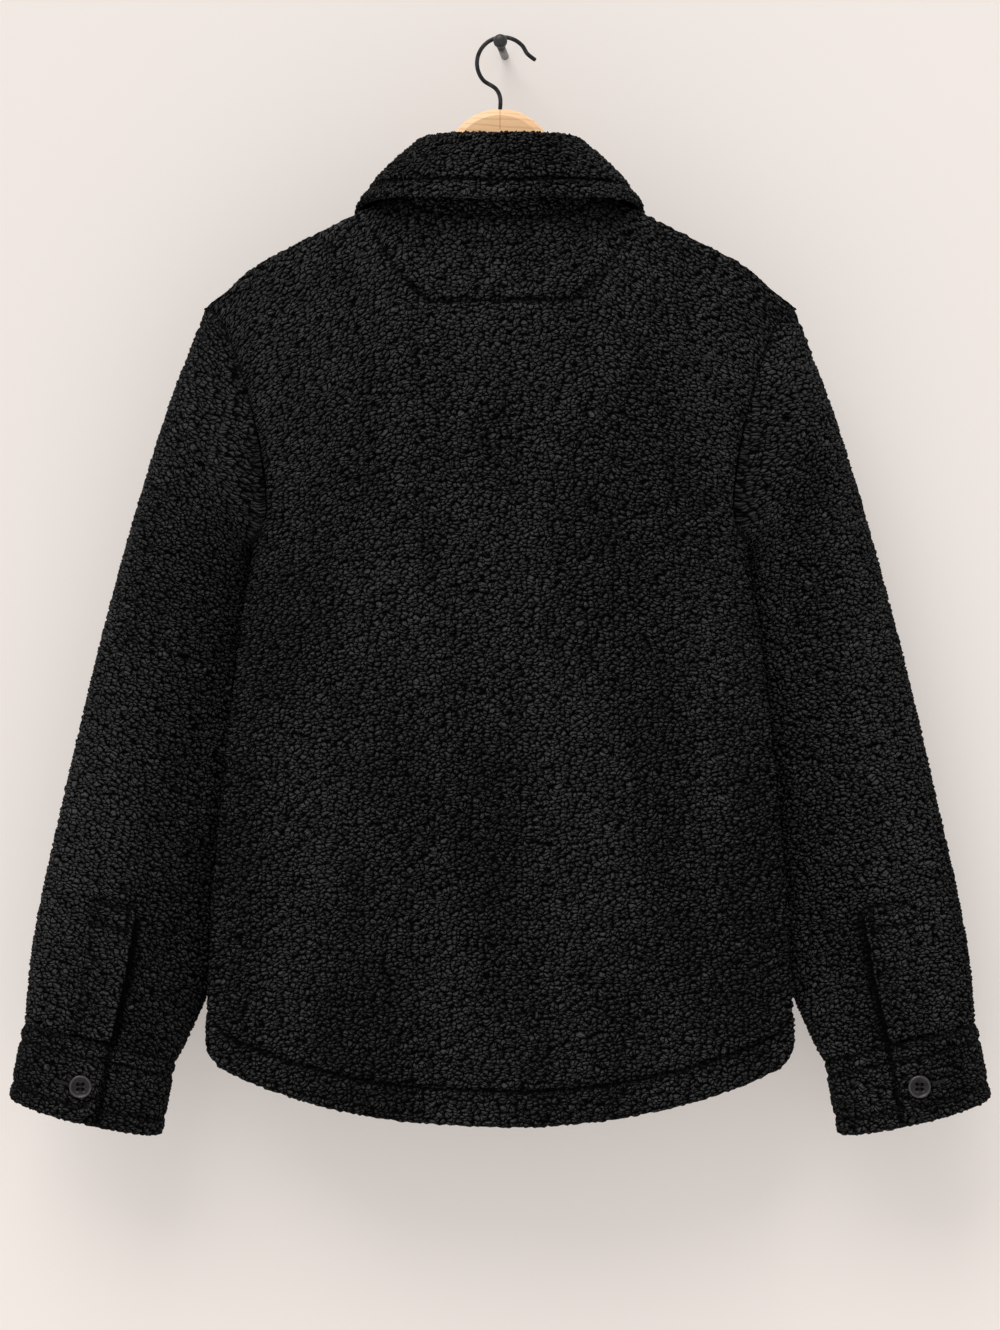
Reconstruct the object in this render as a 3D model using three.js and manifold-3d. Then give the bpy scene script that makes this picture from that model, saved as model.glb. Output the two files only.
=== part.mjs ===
import * as THREE from 'three';
import { mergeVertices } from 'three/addons/utils/BufferGeometryUtils.js';
import Module from 'manifold-3d';

// A pile fleece shirt jacket on a wooden hanger, in millimetres, +Z up.
// The origin is the inner top of the hook, where a peg bears.
// The garment's back faces -Y, its front +Y, and the wearer's left is -X.

const wasm = await Module();
wasm.setup();

// Cloth
const clothThickness = 4;
const doubledCloth = 6;
const hemThickness = 7;
const seamGap = 0.3;
const underarmGap = 2.3;
const halfGap = seamGap / 2;

// Body
const shoulderX = 236;
const neckHalfWidth = 80;
const neckPointZ = -120;
const shoulderSlope = 0.49;
const shoulderRoundX = 185;
const shoulderRound = 0.0075;
const backNeckZ = -139;
const backNeckDepth = 45;
const frontNeckDrop = 88;
const frontNeckDepth = 42;
const frontNeckPower = 1.8;
const underarmX = 197;
const underarmZ = -400;
const armholeHalfDepth = 38;
const armholeBow = 20;
const hemCentreZ = -863;
const hemRise = 48;
const hemRiseX = 232;
const hemPower = 2.2;
const hemCornerX = 222;
const hemCornerReach = 16;
const hemCornerRise = 14;
const hemHalfWidth = 238;
const shoulderSettle = 150;
const sideEdgeRows = [
  { z: underarmZ, halfWidth: underarmX },
  { z: -464, halfWidth: 208 },
  { z: -568, halfWidth: 220 },
  { z: -688, halfWidth: 232 },
  { z: -804, halfWidth: hemHalfWidth },
];
const bodyDepthRows = [
  { z: -130, halfDepth: 46 },
  { z: -300, halfDepth: 50 },
  { z: -500, halfDepth: 52 },
  { z: -700, halfDepth: 49 },
  { z: -866, halfDepth: 45 },
];

// Soft folds of the hanging cloth: a line from its top to its foot, half widths there, and height.
const backFolds = [
  { topX: -16, topZ: -360, footX: -38, footZ: -880, topWidth: 22, footWidth: 44, height: -8 },
  { topX: 84, topZ: -262, footX: 146, footZ: -800, topWidth: 24, footWidth: 34, height: -8 },
  { topX: -126, topZ: -320, footX: -172, footZ: -800, topWidth: 26, footWidth: 34, height: -6 },
  { topX: 32, topZ: -280, footX: 26, footZ: -900, topWidth: 24, footWidth: 36, height: 6 },
  { topX: -74, topZ: -480, footX: -108, footZ: -840, topWidth: 24, footWidth: 34, height: 6 },
  { topX: 168, topZ: -470, footX: 204, footZ: -840, topWidth: 22, footWidth: 26, height: 5 },
];
const frontFolds = [
  { topX: -92, topZ: -300, footX: -128, footZ: -880, topWidth: 26, footWidth: 38, height: -7 },
  { topX: 98, topZ: -280, footX: 132, footZ: -880, topWidth: 26, footWidth: 36, height: -7 },
  { topX: -58, topZ: -420, footX: -74, footZ: -900, topWidth: 20, footWidth: 30, height: 5 },
  { topX: 60, topZ: -440, footX: 78, footZ: -900, topWidth: 20, footWidth: 30, height: 5 },
  { topX: -160, topZ: -430, footX: -196, footZ: -830, topWidth: 24, footWidth: 28, height: 5 },
  { topX: 158, topZ: -450, footX: 194, footZ: -830, topWidth: 24, footWidth: 28, height: 5 },
];

// Front closing: a doubled band on the left front laps over the right front.
const bandHalfWidth = 22;
const bandProud = 2;
const bandColumns = 4;
const dipStartX = 25;
const dipEndX = 38;
const underlapTops = [-18, 0, 13, dipStartX];
const frontButtonCount = 7;
const firstButtonZ = -232;
const lastButtonZ = -800;

// Sleeves: outer and inner edge of each section, and half its depth
const sleeveSections = [
  { outerX: shoulderX, outerZ: -216, outerY: 0, innerX: underarmX, innerZ: underarmZ, innerY: 0,
    halfDepth: armholeHalfDepth },
  { outerX: 264, outerZ: -290, outerY: 4, innerX: 202, innerZ: -418, innerY: 27, halfDepth: 40 },
  { outerX: 289, outerZ: -368, outerY: 10, innerX: 196, innerZ: -464, innerY: 44, halfDepth: 38 },
  { outerX: 320, outerZ: -480, outerY: 15, innerX: 197, innerZ: -545, innerY: 49, halfDepth: 35 },
  { outerX: 350, outerZ: -606, outerY: 15, innerX: 211, innerZ: -650, innerY: 43, halfDepth: 33 },
  { outerX: 374, outerZ: -720, outerY: 11, innerX: 228, innerZ: -744, innerY: 30, halfDepth: 31 },
  { outerX: 381, outerZ: -790, outerY: 6, innerX: 258.5, innerZ: -818, innerY: 12, halfDepth: 27 },
];

// Cuffs: a doubled strip whose last end laps over its first on the back of the wrist
const cuffTop = {
  outerX: 380, outerZ: -791.1, outerY: 6, innerX: 256.5, innerZ: -819.1, innerY: 12, halfDepth: 28,
};
const cuffFoot = {
  outerX: 387, outerZ: -845, outerY: 5, innerX: 270, innerZ: -873, innerY: 9, halfDepth: 27,
};
const cuffDroop = 5;
const cuffLapStart = 58;
const cuffLapEnd = 458;
const cuffRiseStart = 250;
const cuffRiseEnd = 385;
const cuffLapGap = 0.5;

// Sleeve placket: a strip on the back of the sleeve, as shares of its length and turn in degrees
const placketTop = 0.775;
const placketFoot = 0.985;
const placketOuterTurn = 74;
const placketInnerTurn = 99;
const placketThickness = 3;
const placketLift = 2;

// Buttons
const buttonRadius = 9;
const buttonThickness = 3.2;
const buttonDish = 0.9;
const buttonRim = 2.2;
const buttonRimSlope = 0.8;
const buttonEdgeDraft = 0.4;
const buttonFootChamfer = 0.75;
const buttonSides = 12;
const buttonHoles = 4;
const buttonHoleRadius = 0.9;
const buttonHoleOffset = 1.9;
const buttonHoleSides = 5;
const buttonSeat = 0.4;
const cuffButtonTurn = 443;
const cuffButtonAcross = 0.6;

// Collar: half widths and heights of the neck seam, the roll and the free edge round the neck.
// turn is in degrees from the centre back.
const standThickness = 5;
const fallThickness = 6;
const rollRadius = 4.5;
const standTopBelowRoll = 13;
const standSeat = 1.4;
const rollSeat = 0.8;
const fallBelly = 3;
const collarEndTurn = 173;
const collarRows = [
  { turn: 0, rollX: 0, rollY: -38, rollZ: -82, edgeX: 0, edgeY: -60, edgeZ: -129 },
  { turn: 30, rollX: 31, rollY: -34, rollZ: -82, edgeX: 50, edgeY: -58, edgeZ: -128 },
  { turn: 60, rollX: 51, rollY: -20, rollZ: -84, edgeX: 89, edgeY: -42, edgeZ: -122 },
  { turn: 90, rollX: 59, rollY: 2, rollZ: -92, edgeX: 111, edgeY: 0, edgeZ: -129 },
  { turn: 120, rollX: 53, rollY: 25, rollZ: -112, edgeX: 107, edgeY: 42, edgeZ: -167 },
  { turn: 150, rollX: 32, rollY: 40, rollZ: -142, edgeX: 92, edgeY: 57, edgeZ: -212 },
  { turn: collarEndTurn, rollX: 9, rollY: 46, rollZ: -168, edgeX: 64, edgeY: 59, edgeZ: -246 },
];

// Hanger
const woodThickness = 12;
const woodRounding = 5.5;
const domeRadius = 44;
const domeCentreZ = -99.6;
const domeTopTurn = 89.7;
const domeFootTurn = 4;
const armReach = 219;
const armGap = 1.5;
const tipDropX = 150;
const tipDrop = 6;
const armTipDepth = 18;
const armRootDepth = 34;
const armRootX = 62;
const armStartX = 92;
const armStep = 16;
const archZ = -146;
const archEndX = 42;
const tipRound = 8;
const tipMiddle = 2 / 3;

// Hook
const wireRadius = 1.7;
const hookRadius = 20.8;
const hookCentreX = 2.4;
const hookStemZ = -46;
const hookStemFoot = -72;
const boreRadius = wireRadius + 0.3;
const boreLength = 40;
const boreSides = 12;
const hookBend = { x: -3.4, z: -39.4 };
const hookTurnStart = 222;
const hookTurnEnd = 22;
const hookTurnStep = 20;
const hookFlare = { x: 25.4, z: -14.4 };
const hookTip = { x: 28.6, z: -16.6 };
const hookSteps = 36;

const mix = (from, to, share) => from + (to - from) * share;
const clamp01 = (value) => Math.min(1, Math.max(0, value));
const smooth = (value) => clamp01(value) ** 2 * (3 - 2 * clamp01(value));
const radians = (degrees) => THREE.MathUtils.degToRad(degrees);

// Reads one column of a table at any place between its rows.
function readTable(rows, key, place, column) {
  const falling = rows[0][key] > rows[rows.length - 1][key];
  const passed = (row) => (falling ? row[key] <= place : row[key] >= place);
  const index = Math.max(1, rows.findIndex(passed));
  const before = rows[index - 1];
  const after = rows[index];
  if (rows.every((row) => !passed(row))) {
    return rows[rows.length - 1][column];
  }
  return mix(before[column], after[column], clamp01((place - before[key]) / (after[key] - before[key])));
}

// Outward directions on a grid of points, from the points on either side of each one.
function outwardDirections(points, closed, facing) {
  const lastRow = points.length - 1;
  const columns = points[0].length;
  return points.map((row, i) => row.map((point, j) => {
    const above = points[Math.max(0, i - 1)][j];
    const below = points[Math.min(lastRow, i + 1)][j];
    const before = closed ? row[(j + columns - 1) % columns] : row[Math.max(0, j - 1)];
    const after = closed ? row[(j + 1) % columns] : row[Math.min(columns - 1, j + 1)];
    const down = below.clone().sub(above);
    const across = after.clone().sub(before);
    return down.cross(across).normalize().multiplyScalar(facing);
  }));
}

// Moves a grid of points along its directions; the distance may change over the grid.
function moved(points, directions, distanceAt) {
  return points.map((row, i) => row.map((point, j) => (
    point.clone().addScaledVector(directions[i][j], distanceAt(i, j)))));
}

// One closed wall from an outer grid and an inner grid of the same size.
function wallGeometry(outer, inner, closed) {
  const rows = outer.length;
  const columns = outer[0].length;
  const vertices = [...outer.flat(), ...inner.flat()];
  const outerAt = (i, j) => i * columns + (j % columns);
  const innerAt = (i, j) => rows * columns + outerAt(i, j);
  const index = [];
  const quad = (a, b, c, d) => index.push(a, b, c, a, c, d);
  const lastColumn = closed ? columns : columns - 1;
  for (let i = 0; i < rows - 1; i += 1) {
    for (let j = 0; j < lastColumn; j += 1) {
      quad(outerAt(i, j), outerAt(i, j + 1), outerAt(i + 1, j + 1), outerAt(i + 1, j));
      quad(innerAt(i, j), innerAt(i + 1, j), innerAt(i + 1, j + 1), innerAt(i, j + 1));
    }
  }
  for (let j = 0; j < lastColumn; j += 1) {
    quad(outerAt(0, j + 1), outerAt(0, j), innerAt(0, j), innerAt(0, j + 1));
    quad(outerAt(rows - 1, j), outerAt(rows - 1, j + 1), innerAt(rows - 1, j + 1), innerAt(rows - 1, j));
  }
  if (!closed) {
    for (let i = 0; i < rows - 1; i += 1) {
      const end = columns - 1;
      quad(outerAt(i, 0), outerAt(i + 1, 0), innerAt(i + 1, 0), innerAt(i, 0));
      quad(outerAt(i + 1, end), outerAt(i, end), innerAt(i, end), innerAt(i + 1, end));
    }
  }
  let volume = 0;
  for (let k = 0; k < index.length; k += 3) {
    const [a, b, c] = [vertices[index[k]], vertices[index[k + 1]], vertices[index[k + 2]]];
    volume += a.dot(b.clone().cross(c));
  }
  if (volume < 0) {
    index.reverse();
  }
  const geometry = new THREE.BufferGeometry();
  const places = vertices.flatMap((vertex) => vertex.toArray());
  geometry.setAttribute('position', new THREE.Float32BufferAttribute(places, 3));
  geometry.setIndex(index);
  return geometry;
}

// The armhole seam: turn 0 is the shoulder point and 1 the underarm; y is its distance off the middle.
function armholePoint(turn) {
  const angle = Math.PI * turn;
  const share = (1 - Math.cos(angle)) / 2;
  return {
    x: mix(shoulderX, underarmX, share) - armholeBow * Math.sin(angle),
    y: armholeHalfDepth * Math.sin(angle),
    z: mix(shoulderLineZ(shoulderX), underarmZ, share),
  };
}

// At the armhole both panels and the sleeve are cut square to this direction.
function armholeDirection(angle, side) {
  const rise = new THREE.Vector3(side * (shoulderX - underarmX), 0, shoulderLineZ(shoulderX) - underarmZ);
  return rise.normalize().multiplyScalar(Math.cos(angle)).add(new THREE.Vector3(0, -Math.sin(angle), 0));
}

function shoulderLineZ(x) {
  const rounding = shoulderRound * Math.max(0, x - shoulderRoundX) ** 2;
  return neckPointZ - shoulderSlope * (x - neckHalfWidth) - rounding;
}

function hemLineZ(x) {
  const corner = hemCornerRise * clamp01((x - hemCornerX) / hemCornerReach) ** 2;
  return hemCentreZ + hemRise * (x / hemRiseX) ** hemPower + corner;
}

// The top line of a panel: the shoulder seam, then the neck seam.
function topLine(front, x) {
  if (x >= neckHalfWidth) {
    return { y: halfGap, z: shoulderLineZ(x) };
  }
  const bend = Math.sqrt(1 - (x / neckHalfWidth) ** 2);
  if (front) {
    const drop = frontNeckDrop * bend ** frontNeckPower;
    return { y: frontNeckDepth * bend + halfGap, z: neckPointZ - drop };
  }
  return { y: backNeckDepth * bend + halfGap, z: mix(backNeckZ, neckPointZ, (x / neckHalfWidth) ** 4) };
}

// The grid of a panel. neckColumns run along the neck seam and the others along the shoulder.
const neckColumns = 4;
const backShoulderColumns = 9;
const frontShoulderColumns = 8;

// The side of a panel from the shoulder point down: the armhole, then the side seam to the hem.
const armholeRows = 9;
const sideRows = 12;
const bodyRows = armholeRows + sideRows;
// Rows stand closer where the cloth bends over the hanger.
const ridgeRows = [0, 0.12, 0.35, 0.7, 1.3];
const rowPlaces = [...ridgeRows, ...Array.from({ length: bodyRows - 1 }, (unused, k) => k + 2)];
const lastRow = rowPlaces.length - 1;
function panelSide(row) {
  if (row <= armholeRows) {
    return armholePoint(row / armholeRows);
  }
  const z = mix(underarmZ, hemLineZ(hemHalfWidth), (row - armholeRows) / sideRows);
  return { x: readTable(sideEdgeRows, 'z', z, 'halfWidth'), y: 0, z };
}

function foldHeight(folds, x, z) {
  return folds.reduce((sum, fold) => {
    const along = (fold.topZ - z) / (fold.topZ - fold.footZ);
    const centre = mix(fold.topX, fold.footX, along);
    const width = mix(fold.topWidth, fold.footWidth, clamp01(along));
    const fade = smooth(along / 0.35) * smooth((1.15 - along) / 0.2);
    return sum + fold.height * fade * Math.exp(-(((x - centre) / width) ** 2));
  }, 0);
}

// A point of the hanging body, at a distance x from the middle and a row down from the top line.
function bodyPoint(front, x, row) {
  const side = panelSide(row);
  const share = Math.min(1, Math.abs(x) / side.x);
  const top = topLine(front, share * shoulderX);
  const hemZ = hemLineZ(share * hemHalfWidth);
  const sideTopZ = shoulderLineZ(shoulderX);
  const sideDown = (side.z - sideTopZ) / (hemLineZ(hemHalfWidth) - sideTopZ);
  const z = mix(top.z, hemZ, mix(row / bodyRows, sideDown, share ** 4));
  const edgePower = mix(1, 0.5, clamp01(row / armholeRows));
  const fullness = (1 - share ** 4) ** edgePower;
  const depth = mix(side.y, readTable(bodyDepthRows, 'z', z, 'halfDepth'), fullness);
  const drop = clamp01((top.z - z) / shoulderSettle);
  const settlePower = mix(1, 0.5, clamp01((share * shoulderX) / neckHalfWidth) ** 2);
  const nearArmhole = share ** 8 * clamp01(row / ridgeRows[ridgeRows.length - 1]);
  const settle = mix((1 - (1 - drop) ** 2) ** settlePower, 1, nearArmhole);
  const fold = foldHeight(front ? frontFolds : backFolds, x, z) * (1 - share ** 6);
  const depthHere = share > 0.999 ? side.y : mix(top.y, depth, settle) + fold;
  const y = Math.max(halfGap, depthHere);
  return new THREE.Vector3(x, front ? y : -y, z);
}

// Places of the columns along the top line, from an inner edge out to the shoulder point.
function columnTops(innerX, shoulderColumns) {
  const start = Math.asin(innerX / neckHalfWidth);
  const tops = [];
  for (let k = 0; k <= neckColumns; k += 1) {
    tops.push(neckHalfWidth * Math.sin(mix(start, Math.PI / 2, k / neckColumns)));
  }
  for (let k = 1; k <= shoulderColumns; k += 1) {
    tops.push(mix(neckHalfWidth, shoulderX, Math.sin((Math.PI / 2) * (k / shoulderColumns))));
  }
  return tops;
}

// Gives the seam edges of a panel their directions, so that two panels meet without crossing.
function squareSeams(points, directions, front) {
  points.forEach((row, i) => row.forEach((point, j) => {
    const place = rowPlaces[i];
    const atSide = Math.abs(Math.abs(point.x) - panelSide(place).x) < 0.01;
    if (place <= armholeRows && atSide) {
      const angle = Math.PI * (place / armholeRows);
      const direction = armholeDirection(front ? -angle : angle, Math.sign(point.x));
      directions[i][j].copy(direction);
    } else if (Math.abs(point.y) < halfGap + 0.01) {
      directions[i][j].setY(0).normalize();
    }
  }));
}

const hemWall = (i) => (i === lastRow ? hemThickness : clothThickness);

// The inner face of a panel stays on its own side of the shoulder and side seams.
function panelWall(outer, directions, front) {
  const inner = moved(outer, directions, (i) => -hemWall(i));
  inner.flat().forEach((point) => {
    point.setY(front ? Math.max(halfGap, point.y) : Math.min(-halfGap, point.y));
  });
  return wallGeometry(outer, inner, false);
}

function backPanel() {
  const half = columnTops(0, backShoulderColumns);
  const tops = [...half.slice(1).reverse().map((x) => -x), ...half];
  const points = rowPlaces.map((row) => (
    tops.map((top) => bodyPoint(false, (top / shoulderX) * panelSide(row).x, row))));
  const directions = outwardDirections(points, false, 1);
  squareSeams(points, directions, false);
  return panelWall(points, directions, false);
}

// The left front stops at the band; the right front dips and runs on under it.
function frontPanel(side, plainX, firstTops) {
  const tops = [...firstTops, ...columnTops(plainX, frontShoulderColumns)];
  const points = rowPlaces.map((row) => tops.map((top) => {
    const x = mix(plainX, panelSide(row).x, (top - plainX) / (shoulderX - plainX));
    return bodyPoint(true, side * (top < plainX ? top : x), row);
  }));
  const directions = outwardDirections(points, false, -side);
  squareSeams(points, directions, true);
  directions.forEach((row) => row[0].setX(0).normalize());
  const sink = (i, j) => {
    const share = firstTops.length > 0 ? 1 - smooth((tops[j] - dipStartX) / (plainX - dipStartX)) : 0;
    return -share * (doubledCloth - bandProud + 2 * seamGap);
  };
  const outer = moved(points, directions, sink);
  return panelWall(outer, directions, true);
}

function frontBand() {
  const places = [];
  for (let k = 0; k <= bandColumns; k += 1) {
    places.push(mix(seamGap - bandHalfWidth, bandHalfWidth, k / bandColumns));
  }
  const points = rowPlaces.map((row) => places.map((x) => bodyPoint(true, x, row)));
  const directions = outwardDirections(points, false, -1);
  directions.forEach((row) => row.forEach((direction) => direction.setX(0).normalize()));
  const outer = moved(points, directions, () => bandProud);
  return wallGeometry(outer, moved(outer, directions, () => -doubledCloth), false);
}

// Smooth lines through the sleeve's sections
const edgeCurve = (edge) => new THREE.CatmullRomCurve3(sleeveSections.map((row) => (
  new THREE.Vector3(row[`${edge}X`], row[`${edge}Y`], row[`${edge}Z`]))));
const sleeveOuterCurve = edgeCurve('outer');
const sleeveInnerCurve = edgeCurve('inner');
const sleeveDepthCurve = new THREE.CatmullRomCurve3(
  sleeveSections.map((row, i) => new THREE.Vector3(row.halfDepth, i, 0)));

// A point of an oval section: angle 0 is the outer edge, 90 degrees the back, 180 the inner edge.
function ovalPoint(outer, inner, halfDepth, angle, side) {
  const centre = outer.clone().add(inner).multiplyScalar(0.5);
  const reach = outer.clone().sub(centre);
  const along = reach.clone().normalize();
  const backward = new THREE.Vector3(0, -1, 0).addScaledVector(along, along.y).normalize();
  const point = centre.addScaledVector(reach, Math.cos(angle));
  point.addScaledVector(backward, halfDepth * Math.sin(angle));
  point.x *= side;
  return point;
}

// The sleeve from the armhole (down 0) to the cuff seam (down 1).
function sleevePoint(side, down, angle) {
  const outer = sleeveOuterCurve.getPoint(down);
  const inner = sleeveInnerCurve.getPoint(down);
  const halfDepth = sleeveDepthCurve.getPoint(down).x;
  const point = ovalPoint(outer, inner, halfDepth, angle, side);
  const bow = armholeBow * (1 - smooth(down * (sleeveSections.length - 1)));
  point.x -= side * bow * Math.abs(Math.sin(angle));
  return point;
}

const sleeveRows = 14;
const backTurns = rowPlaces.filter((row) => row <= armholeRows).map((row) => Math.PI * (row / armholeRows));
const ringAngles = [...backTurns, ...backTurns.slice(1, -1).reverse().map((angle) => 2 * Math.PI - angle)];
function sleeve(side) {
  const points = [];
  for (let i = 0; i <= sleeveRows; i += 1) {
    points.push(ringAngles.map((angle) => sleevePoint(side, i / sleeveRows, angle)));
  }
  const directions = outwardDirections(points, true, -side);
  points[0].forEach((point, j) => {
    const under = Math.max(0, -Math.cos(ringAngles[j]));
    point.x += side * mix(seamGap, underarmGap, under);
    point.z += underarmGap * under;
    directions[0][j].copy(armholeDirection(ringAngles[j], side));
  });
  return wallGeometry(points, moved(points, directions, () => -clothThickness), true);
}

// A point of the cuff strip: turn in degrees along the strip, across from seam to free edge.
function cuffPoint(side, turn, across) {
  const at = (key) => mix(cuffTop[key], cuffFoot[key], across);
  const outer = new THREE.Vector3(at('outerX'), at('outerY'), at('outerZ'));
  const inner = new THREE.Vector3(at('innerX'), at('innerY'), at('innerZ'));
  const angle = radians(turn);
  const rise = smooth((turn - cuffRiseStart) / (cuffRiseEnd - cuffRiseStart));
  const lift = (doubledCloth + cuffLapGap) * rise;
  const halfDepth = at('halfDepth') + lift;
  outer.addScaledVector(outer.clone().sub(inner).normalize(), lift);
  const point = ovalPoint(outer, inner, halfDepth, angle, side);
  point.z -= cuffDroop * across * Math.max(0, Math.sin(angle));
  return point;
}

const cuffColumns = 28;
const cuffRows = 2;
function cuff(side) {
  const points = [];
  for (let i = 0; i <= cuffRows; i += 1) {
    const row = [];
    for (let j = 0; j <= cuffColumns; j += 1) {
      row.push(cuffPoint(side, mix(cuffLapStart, cuffLapEnd, j / cuffColumns), i / cuffRows));
    }
    points.push(row);
  }
  const directions = outwardDirections(points, false, -side);
  return wallGeometry(points, moved(points, directions, () => -doubledCloth), false);
}

// The placket lies on the sleeve; its free inner edge stands a little off the cloth.
const placketRows = 8;
const placketColumns = 3;
function sleevePlacket(side) {
  const points = [];
  for (let i = 0; i <= placketRows; i += 1) {
    const row = [];
    for (let j = 0; j <= placketColumns; j += 1) {
      const turn = mix(placketOuterTurn, placketInnerTurn, j / placketColumns);
      row.push(sleevePoint(side, mix(placketTop, placketFoot, i / placketRows), radians(turn)));
    }
    points.push(row);
  }
  const directions = outwardDirections(points, false, -side);
  const under = moved(points, directions, (i, j) => (
    2 * seamGap + placketLift * (j / placketColumns) ** 2 * smooth(i / 2)));
  return wallGeometry(moved(under, directions, () => placketThickness), under, false);
}

// Collar
const collarCurve = (line) => new THREE.CatmullRomCurve3(collarRows.map((row) => (
  new THREE.Vector3(row[`${line}X`], row[`${line}Y`], row[`${line}Z`]))));
const rollCurve = collarCurve('roll');
const edgeLine = collarCurve('edge');

function neckSeamPoint(turn) {
  const angle = radians(turn);
  const x = neckHalfWidth * Math.sin(angle);
  const front = turn > 90;
  const top = topLine(front, Math.abs(x) > neckHalfWidth - 0.01 ? neckHalfWidth : x);
  return new THREE.Vector3(x, front ? top.y : -top.y, top.z);
}

// Middle line of the collar at a place round the neck: seam, stand top, roll and free edge.
function collarLines(turn) {
  const size = Math.abs(turn);
  const rowIndex = collarRows.findIndex((row) => row.turn >= size);
  const index = Math.max(1, rowIndex);
  const before = collarRows[index - 1].turn;
  const share = (index - 1 + (size - before) / (collarRows[index].turn - before)) / (collarRows.length - 1);
  const roll = rollCurve.getPoint(share);
  const edge = edgeLine.getPoint(share);
  const seam = neckSeamPoint(size);
  const angle = radians(size);
  const upward = roll.clone().sub(seam).normalize();
  const outward = new THREE.Vector3(Math.sin(angle), -Math.cos(angle), 0);
  outward.addScaledVector(upward, -outward.dot(upward)).normalize();
  [roll, edge, seam, outward, upward].forEach((vector) => vector.setX(vector.x * (Math.sign(turn) || 1)));
  return { roll, edge, seam, outward, upward };
}

const collarColumns = 28;
const turnOf = (j) => mix(-collarEndTurn, collarEndTurn, j / collarColumns);

function collarStand() {
  const rows = 3;
  const points = [];
  for (let i = 0; i <= rows; i += 1) {
    const row = [];
    for (let j = 0; j <= collarColumns; j += 1) {
      const { roll, seam, outward, upward } = collarLines(turnOf(j));
      const foot = seam.clone().addScaledVector(outward, -clothThickness / 2);
      foot.addScaledVector(upward, standSeat);
      const head = roll.clone().addScaledVector(upward, -standTopBelowRoll);
      row.push(foot.lerp(head, i / rows));
    }
    points.push(row);
  }
  const directions = outwardDirections(points, false, 1);
  const outer = moved(points, directions, () => standThickness / 2);
  return wallGeometry(outer, moved(outer, directions, () => -standThickness), false);
}

// The fall starts on the stand, turns over the roll and comes down outside to its free edge.
function collarFall() {
  const arc = [180, 135, 90, 45, 0];
  const fallRows = 4;
  const columns = [];
  for (let j = 0; j <= collarColumns; j += 1) {
    const { roll, edge, outward, upward } = collarLines(turnOf(j));
    const centre = roll.clone().addScaledVector(outward, rollRadius).addScaledVector(upward, -rollRadius);
    const line = [roll.clone().addScaledVector(upward, rollSeat - standTopBelowRoll)];
    arc.forEach((degrees) => {
      const point = centre.clone().addScaledVector(outward, rollRadius * Math.cos(radians(degrees)));
      line.push(point.addScaledVector(upward, rollRadius * Math.sin(radians(degrees))));
    });
    const last = line[line.length - 1];
    for (let k = 1; k <= fallRows; k += 1) {
      const share = k / fallRows;
      const belly = fallBelly * Math.sin(Math.PI * share);
      line.push(last.clone().lerp(edge, share).addScaledVector(outward, belly));
    }
    columns.push(line);
  }
  const points = columns[0].map((unused, i) => columns.map((line) => line[i]));
  const directions = outwardDirections(points, false, -1);
  const outer = moved(points, directions, () => fallThickness / 2);
  return wallGeometry(outer, moved(outer, directions, () => -fallThickness), false);
}

// Solids for cutting
function solidOf(geometry) {
  const bare = geometry.clone();
  bare.deleteAttribute('normal');
  bare.deleteAttribute('uv');
  const merged = mergeVertices(bare);
  return new wasm.Manifold(new wasm.Mesh({
    numProp: 3,
    vertProperties: new Float32Array(merged.attributes.position.array),
    triVerts: new Uint32Array(merged.index.array),
  }));
}

function geometryOf(solid) {
  const mesh = solid.getMesh();
  const geometry = new THREE.BufferGeometry();
  geometry.setAttribute('position', new THREE.Float32BufferAttribute(mesh.vertProperties, 3));
  geometry.setIndex(Array.from(mesh.triVerts));
  return geometry;
}

// A dished button with a rim and four sewing holes, its flat back at z = 0.
function buttonGeometry() {
  const profile = [
    [0, 0],
    [buttonRadius - buttonFootChamfer, 0],
    [buttonRadius, buttonFootChamfer],
    [buttonRadius - buttonEdgeDraft, buttonThickness],
    [buttonRadius - buttonRim, buttonThickness],
    [buttonRadius - buttonRim - buttonRimSlope, buttonThickness - buttonDish],
    [0, buttonThickness - buttonDish],
  ].map(([r, z]) => new THREE.Vector2(r, z));
  const disc = new THREE.LatheGeometry(profile, buttonSides);
  disc.rotateX(Math.PI / 2);
  let solid = solidOf(disc);
  for (let k = 0; k < buttonHoles; k += 1) {
    const depth = 3 * buttonThickness;
    const hole = new THREE.CylinderGeometry(buttonHoleRadius, buttonHoleRadius, depth, buttonHoleSides);
    hole.rotateX(Math.PI / 2);
    const angle = (2 * Math.PI * (k + 0.5)) / buttonHoles;
    hole.translate(buttonHoleOffset * Math.cos(angle), buttonHoleOffset * Math.sin(angle), 0);
    solid = solid.subtract(solidOf(hole));
  }
  return geometryOf(solid);
}

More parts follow.
